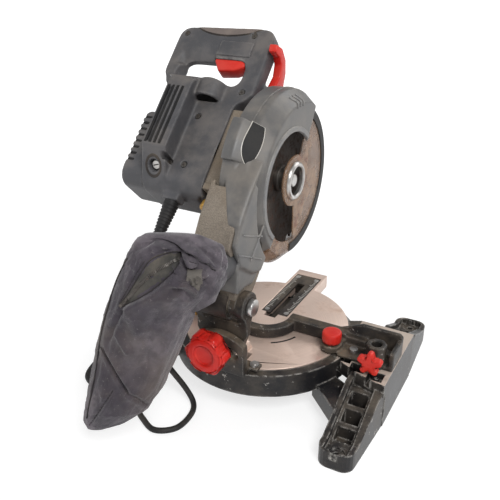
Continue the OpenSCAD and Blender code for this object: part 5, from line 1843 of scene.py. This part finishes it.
@dataclass
class MotorHousing:
    """Motor housing, D-handle, grip inlay, levers and screws."""

    shop: Workshop
    finger_y: float = -125.0
    top_z: float = 40.0
    brush_x: float = 131.5
    brush_turn: float = 50.5
    brush_r: float = 53.0
    cap_fill: Outline = ((-37, 10), (37, 10), (37, 35.8), (-37, 35.8))
    cap_x: Pair = (165.0, 183.1)
    panel: Outline = ((-158.0, 38.9), (-134.5, 38.9), (-134.5, 41.0), (-137.0, 42.2), (-154.0, 42.2), (-157.0, 41.0))
    panel_x: Pair = (64.0, 113.0)
    box: Outline = ((-164.0, 18.0), (-150.0, 18.0), (-150.0, 34.0), (-164.0, 34.0))
    box_x: Pair = (79.0, 105.0)
    screws: Outline = ((172, -161), (70, -161), (56, -84), (104, -42), (117, 27), (96, 27))
    screw_turn: float = 0.35
    grip_at: Point = (110.0, -174.0, 32.0)
    grip_half: Pair = (50.0, 11.0)
    grip_slim: float = 0.38
    body_x: float = 74.0
    body_slim: float = 0.44
    bar_z: float = 27.0
    bar_slim: float = 0.62

    def rounding(self, points: np.ndarray) -> np.ndarray:
        """Give the rounds of smoothing: many on the grip, few at slots and screws.

        Args:
            points: Points of the housing.

        Returns:
            Rounds for each point.
        """
        x, y, z = points.T
        wanted = 5.0 + 34.0 * np.clip((-84.0 - y) / 14.0, 0.0, 1.0)
        slots = (x > 121) & (x < 147) & (y > -71) & (y < 20) & (z > 56)
        wanted = np.where(slots, 2.0, wanted)
        for sx, sy in self.screws:
            wanted = np.where(np.hypot(x - sx, y - sy) < 6.5, 2.0, wanted)
        return wanted

    @staticmethod
    def ease(value: np.ndarray, low: float, high: float) -> np.ndarray:
        """Smooth step from 0 at low to 1 at high."""
        t = np.clip((value - low) / (high - low), 0.0, 1.0)
        return t * t * (3.0 - 2.0 * t)

    def shape(self, points: np.ndarray) -> np.ndarray:
        """Slim and round the grip, open it wider and narrow the housing beside the gear case.

        Args:
            points: Points of the housing.

        Returns:
            The moved points.
        """
        x, y, z = points.T
        ease, top = self.ease, self.top_z
        share = 1.0 - ease(y, -100.0, -84.0)
        high = top - (top - z) * (1.0 - self.grip_slim * share)
        rise = (4.0 + 6.0 * (184.0 - x) / 144.0) * np.clip((-91.0 - y) / 80.0, 0.0, 1.0)
        body = np.clip((y + 82.0) / 22.0, 0.0, 1.0)
        slim = np.where(x < self.body_x, self.body_x - (self.body_x - x) * (1.0 - self.body_slim * body), x)
        y, z = y - rise, np.where(z < top, high, z)
        span = ease(x, 118.0, 146.0) * (1.0 - ease(x, 150.0, 180.0))
        span = span * ease(y, -150.0, -136.0) * (1.0 - ease(y, -92.0, -80.0))
        wide = slim + span * (8.0 + 6.0 * ease(y, -128.0, -100.0))
        bar = ease(x, 113.0, 118.0) * (1.0 - ease(x, 150.0, 172.0)) * (1.0 - ease(y, -122.0, -114.0))
        thin = 1.0 - self.bar_slim * bar * np.clip((y + 160.0) / 32.0, 0.0, 1.0) ** 2
        return np.stack([wide, y, np.where(z < top + 1.0, self.bar_z + (z - self.bar_z) * thin, z)], 1)

    def trigger_block(self, grow: float, reach: float) -> Shape:
        """Shape of the trigger's block.

        Args:
            grow: Gap added all round.
            reach: How far it goes up into the grip.

        Returns:
            Points and faces.
        """
        top = self.finger_y - reach
        outline = [
            (68 - grow, top), (114 + grow, top), (114 + grow, -127), (104 + grow, -112.5 + grow),
            (80 - grow, -115.5 + grow), (68 - grow, -122),
        ]
        points, faces = slab(outline, 19 - grow, 38 + grow)
        return [(x, y, z) for z, x, y in points], faces

    def trigger(self) -> None:
        """Make the rounded trigger."""
        made = self.shop.bevelled("trigger_block", self.trigger_block(0.0, 8.0), RED_PLASTIC, 2.4, 3)
        self.shop.ride(made, "trigger", "red_plastic", "trigger")

    def inlay(self, skin: Obj) -> None:
        """Make the grip inlay and its dark outline on the grip.

        Args:
            skin: The housing's skin.
        """
        out, (long, wide) = (0.0, -0.8, 0.6), self.grip_half
        for name, grow, lift, finish, slot, nodes in (
            ("grip_rim", 1.5, 0.35, DARK_PLASTIC_AND_SHADE, "dark_plastic", ()),
            ("grip_inlay", 0.0, 0.9, GRIP_RUBBER, "grip", ("grip_pad",)),
        ):
            half = (long + grow, wide + grow)
            made = self.shop.decal(name, skin, self.grip_at, (1, 0.04, 0), out, half, lift, Space.MOTOR, finish)
            self.shop.ride(made, "head", slot, *nodes)

    def row(
        self, name: str, unit: Unit, size: Point, finish: Finish, places: Sequence[Matrix], *replaced: str
    ) -> None:
        """Set a small shape on places of the housing."""
        slot = "steel" if finish in (STEEL, DARK_STEEL) else "dark_plastic"
        Repeat(self.shop, unit, size, finish).put(name, places, Space.MOTOR, "head", slot, *replaced)

    def screw_heads(self) -> None:
        """Make the sunk screws, with dark crosses as painted shade in their crossed recesses."""
        at = self.shape(np.array([(x, y, self.top_z) for x, y in self.screws], float))
        heads, crosses = [], []
        for x, y, _ in at:
            heads.append(facing((x, y, self.top_z - 1.9), (1, 0, 0), (0, 0, 1)))
            for turn in (self.screw_turn, self.screw_turn + math.pi / 2):
                along = (math.cos(turn), math.sin(turn), 0)
                crosses.append(facing((x, y, self.top_z - 0.9), along, (0, 0, 1)))
        self.row("screw_heads", Unit.ROUND, (0.0, 3.6, 2.2), DARK_STEEL, heads, "housing_screws")
        self.row("screw_recesses", Unit.BLOCK, (4.2, 0.9, 0.3), DARK_PLASTIC_AND_SHADE, crosses)

    def air_slits(self) -> None:
        """Make the end cap's air slits as dark blocks: painted shade for the openings."""
        rows = [-32 + 9 * i for i in range(8)]
        flat = [facing((176.4, y, 36.6), (1, 0, 0), (0, 0, 1)) for y in rows]
        flat += [facing((182.4, y, 30.4), (0, 0, 1), (1, 0, 0)) for y in rows]
        self.row("air_slits", Unit.BLOCK, (10.4, 2.4, 1.8), BLACK_PLATE_AND_SHADE, flat)

    def brush_recess(self, skin: Obj) -> None:
        """Make the dark oval round the brush cap as painted shade of its recess, and the cap's bright head with a dark
        block as painted shade in its slot.

        Args:
            skin: The housing's skin.
        """
        turn = math.radians(self.brush_turn)
        out = Vector((0.0, math.cos(turn), math.sin(turn)))
        at = Vector((self.brush_x, 0, 0)) + out * self.brush_r
        oval = self.shop.decal("brush_recess", skin, at, (1, 0, 0), out, (12.5, 15.5), 0.35, Space.MOTOR, DARK_PLASTIC_AND_SHADE)
        self.shop.ride(oval, "head", "dark_plastic")
        head, slot = facing(at + out * 2.6, (1, 0, 0), out), facing(at + out * 3.6, (1, 0.4, 0), out)
        self.row("brush_cap_head", Unit.ROUND, (0.0, 5.4, 2.0), STEEL, [head])
        self.row("brush_cap_slot", Unit.BLOCK, (8.4, 1.5, 0.3), DARK_PLASTIC_AND_SHADE, [slot])

    def switch(self) -> None:
        """Make the raised panel over the trigger and the switch's box under it."""
        panel, box = slab(self.panel, *self.panel_x), slab(self.box, *self.box_x)
        made = self.shop.bevelled("switch_panel", panel, GREY_PLASTIC, 1.4, 3)
        self.shop.ride(made, "head", "grey_plastic")
        made = self.shop.bevelled("switch_box", box, DARK_PLASTIC_AND_SHADE, 1.2, 2)
        self.shop.ride(made, "head", "dark_plastic", "switch")

    def slots(self) -> None:
        """Make the dark floors of the intake slots, painted shade for the slots' depth."""
        places = [facing((x, -26, 64.4), (0, 1, 0), (0, 0, 1)) for x in (124.5, 131.5, 138.5, 145.5)]
        self.row("intake_slots", Unit.BLOCK, (84.0, 3.6, 1.6), BLACK_PLATE_AND_SHADE, places)

    def build(self) -> None:
        """Make the rounded shells and the trim."""
        shop = self.shop
        skin = shop.moulded(
            "housing_skin", ["housing_top", "housing_bottom"], 1.5, self.rounding, Space.MOTOR, shape=self.shape
        )
        well = shop.piece("trigger_well", *self.trigger_block(0.7, 17.0), Space.MOTOR, RED_PLASTIC, ROUND_ANGLE)
        skin = shop.carve(skin, well, GREY_PLASTIC)
        shop.ride(skin, "head", "grey_plastic", "housing_top", "housing_bottom")
        fill = shop.piece("cap_raw", *slab(self.cap_fill, *self.cap_x), Space.MOTOR, GREY_PLASTIC)
        cap = shop.moulded("end_cap_skin", ["end_cap"], 1.1, 5.0, Space.MOTOR, extra=[fill])
        shop.ride(cap, "head", "grey_plastic", "end_cap")
        self.trigger()
        shop.ease("guard_lever", "guard_lever", "red_plastic", 1.6, 3)
        shop.ease("spindle_lock", "spindle_lock", "brass", 1.2)
        self.inlay(skin)
        self.screw_heads()
        self.slots()
        self.air_slits()
        self.brush_recess(skin)
        self.switch()


@dataclass
class GearHead:
    """Cast gear case and arm, strain relief and pivot sleeve."""

    shop: Workshop
    sleeve: Outline = ((14.05, -21.3), (15.4, -21.3), (15.4, -12.2), (14.05, -12.2))
    case: Outline = ((-60, -36), (44, -36), (50, -30), (50, 32), (44, 37), (-60, 37))
    case_x: Pair = (19.0, 60.0)
    ledge: Outline = ((45, 20), (54, 20), (54, 41), (45, 41))
    ledge_x: Pair = (23.0, 58.0)
    boot_at: Point = (104.0, 72.0, 20.0)
    boot_r: Pair = (9.6, 5.9)
    boot_len: float = 50.0
    boot_ribs: int = 10
    boot_sides: int = 28

    def casting(self) -> None:
        """Make the gear case and arm in one skin."""
        shop = self.shop
        added = [
            shop.piece("case_raw", *slab(self.case, *self.case_x), Space.MOTOR, CAST_ALLOY),
            shop.piece("ledge_raw", *slab(self.ledge, *self.ledge_x), Space.MOTOR, CAST_ALLOY),
        ]
        skin = shop.moulded("head_skin", ["head_casting"], 1.3, 4.0, Space.HEAD, extra=added)
        shop.ride(skin, "head", "cast_alloy", "head_casting")

    def boot(self) -> None:
        """Make the ribbed strain relief."""
        wide, slim = self.boot_r
        profile = [(wide, 0.0)]
        for i in range(self.boot_ribs):
            y = 4 + 4.4 * i
            r = wide - (wide - slim) * y / self.boot_len
            profile += [(r, y), (r + 0.9, y + 0.5), (r + 0.9, y + 2.4), (r, y + 2.9)]
        profile += [(slim, self.boot_len - 0.1), (0.01, self.boot_len)]
        x, start, z = self.boot_at
        points = []
        for r, y in profile:
            for k in range(self.boot_sides):
                a = 2 * math.pi * k / self.boot_sides
                points.append((x + r * math.cos(a), start + y, z + r * math.sin(a)))
        faces = quads(len(profile), self.boot_sides) + lids(len(profile), self.boot_sides)[:1]
        boot = (points, faces)
        self.shop.place("cord_boot_ribbed", boot, Space.MOTOR, RUBBER, TRIM_ANGLE, "head", "rubber", "cord_boot")

    def pivot_sleeve(self) -> None:
        """Make the dark sleeve on the pivot's barrel."""
        points, faces = turned(self.sleeve, 0, 360, 64)
        sleeve = [(x, y + SIZES.pivot_y, z + SIZES.pivot_z) for x, y, z in points], faces
        self.shop.place("pivot_sleeve", sleeve, Space.HEAD, BRACKET_PAINT, TRIM_ANGLE, "head", "black_paint")

    def build(self) -> None:
        """Make the casting, the strain relief and the sleeve."""
        self.casting()
        self.boot()
        self.pivot_sleeve()


@dataclass
class Drive:
    """What shows of the blade's drive: flange, bolt, the lower guard's hub and its dark band."""

    shop: Workshop
    hub: Outline = (
        (18.5, -21.6), (18.5, -26.0), (20.0, -27.4), (22.6, -27.4), (24.4, -25.6), (25.0, -23.6), (25.0, -21.6),
    )
    web: Outline = ((24.0, -21.8), (24.0, -23.4), (32.8, -23.2), (33.4, -21.8))
    flange: Outline = (
        (8.3, -1.0), (17.6, -1.0), (17.6, -6.0), (16.5, -7.0), (14.5, -7.0), (14.0, -14.0), (8.3, -14.0),
    )
    bolt: Outline = (
        (0.01, -13.0), (8.2, -13.0), (12.5, -13.5), (12.5, -15.0), (8.2, -15.2), (8.2, -22.0), (7.2, -23.0),
        (0.01, -23.0),
    )
    steps: int = 72
    band: Outline = ((85.0, -22.3), (85.4, -23.9), (95.6, -23.9), (96.3, -22.3))

    def build(self) -> None:
        """Make the turned pieces."""
        for name, profile, start, stop, finish, body, slot, nodes in (
            ("guard_hub", self.hub, 0, 360, STEEL, "lower_guard", "steel", ()),
            ("guard_web", self.web, 0, 360, CLEAR_GUARD, "lower_guard", "smoke", ()),
            ("blade_flange", self.flange, 0, 360, DARK_STEEL, "blade", "steel", ("outer_flange",)),
            ("blade_bolt", self.bolt, 0, 360, STEEL, "blade", "steel", ("arbor_bolt",)),
            ("guard_band", self.band, 250, 404, RUBBER, "lower_guard", "rubber", ("lower_guard_edge",)),
        ):
            shape = turned(profile, start, stop, self.steps)
            self.shop.place(name, shape, Space.ARBOR, finish, TRIM_ANGLE, body, slot, *nodes)


@dataclass(frozen=True)
class BagSection:
    """One ring of the dust bag: its centre, half width, half depth and slope in degrees."""

    centre: Point
    wide: float
    deep: float
    slope: float


@dataclass(frozen=True)
class Fold:
    """A fold of the cloth along a line in the photograph: its width, depth, step and the step's reach."""

    line: Outline
    width: float
    depth: float
    shelf: float = 0.0
    reach: float = 10.0

    def lift(self, places: np.ndarray) -> np.ndarray:
        """Find how far the fold lifts the cloth.

        Args:
            places: Places in the photograph.

        Returns:
            Heights in millimetres.
        """
        line = np.array([p[:2] for p in spline([(x, y, 0) for x, y in self.line], 5)])
        gap = np.full(len(places), 1e9)
        side = np.zeros(len(places))
        ends = np.ones(len(places))
        for i in range(len(line) - 1):
            along = line[i + 1] - line[i]
            away = places - line[i]
            k = np.clip(away @ along / (along @ along), 0.0, 1.0)
            far = np.hypot(*(away - k[:, None] * along).T)
            closer = far < gap
            gap = np.where(closer, far, gap)
            cross = along[0] * away[:, 1] - along[1] * away[:, 0]
            side = np.where(closer, np.sign(cross) * far, side)
            ends = np.where(closer, (i + k) / (len(line) - 1), ends)
        fade = np.clip(np.minimum(ends, 1.0 - ends) * 8.0 + 0.15, 0.0, 1.0)
        valley = np.exp(-((gap / self.width) ** 2))
        roll = np.exp(-(((gap - 2.4 * self.width) / (1.3 * self.width)) ** 2))
        step = 0.5 + 0.5 * np.tanh(side / self.width)
        return fade * (self.depth * (0.4 * roll - valley) + self.shelf * step * np.exp(-((gap / self.reach) ** 2)))


@dataclass
class DustBag:
    """Cloth dust bag: a lofted shell that sags from the dust port."""

    shop: Workshop
    sections: Sequence[BagSection] = tuple(BagSection(*row) for row in (
        ((26.0, 176.0, 265.0), 30.0, 6.0, 2.0),
        ((16.0, 177.0, 258.0), 47.0, 17.0, 6.0),
        ((15.0, 181.0, 246.0), 53.0, 26.0, 9.0),
        ((17.0, 187.0, 233.0), 54.0, 31.0, 11.0),
        ((28.0, 194.0, 214.0), 51.0, 34.0, 8.0),
        ((42.0, 198.0, 191.0), 48.0, 36.0, 3.0),
        ((48.0, 200.0, 169.0), 50.5, 37.0, 4.0),
        ((60.0, 206.0, 130.0), 49.5, 37.0, 0.0),
        ((68.5, 222.0, 88.0), 44.5, 33.0, 0.0),
        ((75.0, 234.0, 63.0), 38.5, 26.0, 0.0),
        ((86.0, 246.0, 44.0), 26.5, 15.0, 0.0),
        ((91.5, 257.0, 36.5), 11.0, 5.0, 0.0),
    ))
    right: Point = (-0.881, -0.473, 0.0)
    ahead: Point = (0.473, -0.881, 0.0)
    mouth: Point = (-2.0, 152.5, 218.0)
    mouth_r: float = 24.5
    rim: int = 220
    rows: int = 220
    neck: Outline = ((0.0, 0.0), (5.0, 0.6), (9.0, 0.4), (14.0, 3.0), (26.0, 8.0), (40.0, 7.0))
    neck_sides: int = 60
    folds: Sequence[Fold] = (
        Fold(
            ((134.5, 250), (147.5, 242), (160, 241), (175, 247), (185, 254.5), (205, 265.5), (216, 272.5)),
            2.4, 8.5, -6.0, 15.0,
        ),
        Fold(((178, 255), (182, 265), (188, 270), (207, 267.5)), 2.6, 20.0),
        Fold(((120, 307.5), (135, 301), (152.5, 291), (170, 276), (178, 272.5), (179, 262.5)), 1.3, 2.5, 7.0, 24.0),
        Fold(((118, 306), (128, 290), (138.7, 272.5), (150, 257.5), (170, 251), (182, 251)), 1.3, 1.5, -2.5, 12.0),
        Fold(((101, 347.5), (107.5, 361), (120, 382.5), (129, 395.5)), 1.6, 4.0, -3.5, 14.0),
        Fold(((112.5, 391), (100, 410), (88.7, 426)), 1.5, 2.8),
        Fold(((117.5, 332.5), (121, 342.5), (129, 355)), 2.5, -3.0),
        Fold(((129, 395.5), (139, 400), (148, 405.5)), 1.6, 3.0),
        Fold(((175, 282.5), (185, 282), (196, 292)), 2.5, -3.5),
        Fold(((170, 287.5), (182.5, 290.5), (192.5, 300)), 2.5, 3.5),
        Fold(((187.5, 240), (205, 252.5), (215, 265)), 1.8, 3.5),
        Fold(((215, 240), (225, 252.5), (222.5, 270)), 2.0, 2.5),
        Fold(((157.5, 307.5), (150, 337.5), (147.5, 375)), 5.0, 2.5),
        Fold(((180, 310), (170, 345), (152.5, 385)), 5.0, -2.5),
        Fold(((128.7, 300), (115, 325), (107.5, 342.5)), 2.0, 2.8),
    )
    zip_top: Outline = ((181, 252), (170, 252.5), (152, 259), (141, 273), (130, 291), (119.5, 305.5))
    zip_low: Outline = ((179, 263), (171, 274), (154, 288.5), (137, 299.5), (128, 304), (120, 307.5))
    seams: Sequence[Outline] = (
        ((112.5, 391), (100, 410), (88.7, 426)), ((101, 347.5), (107.5, 361), (120, 382.5), (129, 395.5)),
        ((144, 262), (136, 274), (126, 292), (119, 304)), ((190, 262), (205, 266), (216, 271)),
    )
    tag_top: Outline = ((187, 270.5), (195, 270), (203.5, 268.5))
    tag_low: Outline = ((186, 281), (193, 286), (198.5, 291.5))
    piping: Outline = (
        (127.5, 258), (117, 280), (108.5, 306), (101, 336), (96.5, 368), (91, 396), (87, 418),
    )

    def ring(self, t: float) -> Tuple[Vector, float, float, float]:
        """Find a ring of the bag.

        Args:
            t: Share of the bag's length.

        Returns:
            Centre, half width, half depth and slope.
        """
        at = t * (len(self.sections) - 1)
        i = min(int(at), len(self.sections) - 2)
        k = at - i
        k = k * k * (3 - 2 * k) * 0.5 + k * 0.5
        a, b = self.sections[i], self.sections[i + 1]
        centre = Vector(a.centre).lerp(Vector(b.centre), k)
        mix = [p + (q - p) * k for p, q in ((a.wide, b.wide), (a.deep, b.deep), (a.slope, b.slope))]
        return centre, mix[0], mix[1], mix[2]

    def build(self) -> None:
        """Make the bag, its collar, zip and seams."""
        right, ahead = Vector(self.right), Vector(self.ahead)
        points, outs, fronts = [], [], []
        for i in range(self.rows + 1):
            t = i / self.rows
            centre, wide, deep, slope = self.ring(t)
            tilt = math.radians(slope)
            across = right * math.cos(tilt) + Vector((0, 0, -math.sin(tilt)))
            calm = min(1.0, 5 * t, 5 * (1 - t))
            for k in range(self.rim):
                a = 2 * math.pi * k / self.rim
                c, s = math.cos(a), math.sin(a)
                x = math.copysign(abs(c) ** 0.86, c) * wide
                z = math.copysign(abs(s) ** 0.9, s) * deep
                out = (across * x / wide + ahead * z / deep).normalized()
                place = Vector((c * 1.5 + 0.8 * t, t * 5.0 - 0.6 * c, s * 1.2))
                wave = 2.4 * (0.7 - noise.ridged_multi_fractal(place, 0.9, 2.1, 4, 0.9, 1.8) * 0.5)
                wave += 1.2 * noise.noise(place * 5.0) + 0.5 * noise.noise(place * 13.0)
                points.append(centre + across * x + ahead * z - out * wave * calm)
                outs.append(out)
                fronts.append(min(max(0.25 - s * 1.8, 0.0), 1.0) * min(1.0, 12 * t, 12 * (1 - t)))
        faces = quads(self.rows + 1, self.rim) + lids(self.rows + 1, self.rim)
        spots = np.array(points)
        whole = np.array(Space.TABLE.matrix())
        places = VIEW.pixels(spots @ whole[:3, :3].T + whole[:3, 3])
        lift = sum(fold.lift(places) for fold in self.folds) * np.array(fronts)
        spots += np.array(outs) * lift[:, None]
        bag = (spots.tolist(), faces)
        body = self.shop.place("dust_bag_cloth", bag, Space.TABLE, BAG_CLOTH, CLOTH_ANGLE, "head", "cloth", "dust_bag")
        self.collar()
        self.sewing(body)

    @staticmethod
    def laid(tree: BVHTree, line: Path, steps: int) -> List[Tuple[Vector, Vector]]:
        """Lay a line of the photograph on the cloth.

        Args:
            tree: The cloth's surface.
            line: Places in the photograph.
            steps: Steps between two places.

        Returns:
            Points and outward directions in metres.
        """
        out = []
        for p in spline([(q[0], q[1], 0) for q in line], steps):
            start, ahead = VIEW.ray((p.x, p.y))
            hit, normal, _, _ = tree.ray_cast(start, ahead)
            if hit is not None:
                out.append((hit, normal if normal.dot(ahead) < 0 else -normal))
        return out

    def ribbon(self, name: str, tree: BVHTree, top: Outline, low: Outline, lift: float, finish: Finish) -> None:
        """Lay a band between two lines of the photograph on the cloth.

        Args:
            name: Name of the piece.
            tree: The cloth's surface.
            top: One edge.
            low: The other edge.
            lift: Height over the cloth.
            finish: Finish of the band.
        """
        rows = 7
        edges = []
        for k in range(rows):
            share = k / (rows - 1)
            line = [(a + (c - a) * share, b + (d - b) * share) for (a, b), (c, d) in zip(top, low)]
            bulge = lift - (lift + 0.4) * (k in (0, rows - 1))
            edges.append([hit + normal * bulge * MM for hit, normal in self.laid(tree, line, 8)])
        count = min(len(edge) for edge in edges)
        points = [edge[i] / MM for i in range(count) for edge in edges]
        band = self.shop.piece(name, points, quads(count, rows, ring=False), Space.PART, finish, SKIN_ANGLE)
        self.shop.face_out(band.data, -VIEW.axes()[2])
        self.shop.ride(band, "head", "cloth")

    def sewing(self, body: Obj) -> None:
        """Make the zip, its teeth, the stitches, the tag and the piping on the cloth.

        Args:
            body: The bag's cloth.
        """
        shop, tree = self.shop, surface_of(body.data)
        self.ribbon("zip_band", tree, self.zip_top, self.zip_low, 0.7, ZIP_TAPE)
        self.ribbon("bag_tag", tree, self.tag_top, self.tag_low, 4.5, TAG_CLOTH)
        middle = [((a + c) / 2, (b + d) / 2) for (a, b), (c, d) in zip(self.zip_top, self.zip_low)]
        for name, lines, steps, size, finish, lift in (
            ("zip_teeth", [middle], 14, (1.1, 3.4, 0.9), DARK_STEEL, 0.9),
            ("seam_stitches", self.seams, 7, (2.0, 0.7, 0.5), THREAD, 0.1),
        ):
            places = []
            for line in lines:
                laid = self.laid(tree, line, steps)
                for i in range(len(laid) - 1):
                    at = (laid[i][0] + laid[i][1] * lift * MM) / MM
                    places.append(facing(at, laid[i + 1][0] - laid[i][0], laid[i][1]))
            Repeat(shop, Unit.BLOCK, size, finish).put(name, places, Space.PART, "head", "cloth")
        for name, line, r in (
            ("bag_piping", self.piping, 1.0), ("zip_edge_top", self.zip_top, 0.8), ("zip_edge_low", self.zip_low, 0.8),
        ):
            path = [(hit + normal * 0.3 * MM) / MM for hit, normal in self.laid(tree, line, 8)]
            shop.place(name, tube(path, r, 8), Space.PART, THREAD, THREAD_ANGLE, "head", "cloth")

    def collar(self) -> None:
        """Make the gathered neck on the dust port."""
        x, y, z = self.mouth
        points, rows, count = [], len(self.neck), self.neck_sides
        for along, grow in self.neck:
            for k in range(count):
                a = 2 * math.pi * k / count
                r = self.mouth_r + grow + math.sin(12 * a) * min(1.0, along / 14.0)
                points.append((x + r * math.cos(a) + along * 0.1, y + along, z + r * math.sin(a)))
        faces = quads(rows, count) + lids(rows, count)[1:]
        self.shop.place("dust_bag_neck", (points, faces), Space.TABLE, BAG_CLOTH, CLOTH_ANGLE, "head", "cloth")


def main() -> None:
    """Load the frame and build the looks."""
    logging.basicConfig(level=logging.INFO, format="%(name)s %(message)s")
    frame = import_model()
    shop = Workshop(frame)
    stage = Stage()
    stage.camera()
    MainsCord(shop).build()
    shop.dress()
    for part in (Base, Table, Bracket, GearHead, UpperGuard, MotorHousing, Drive, DustBag):
        part(shop).build()
    stage.light()


if __name__ == "__main__":
    main()
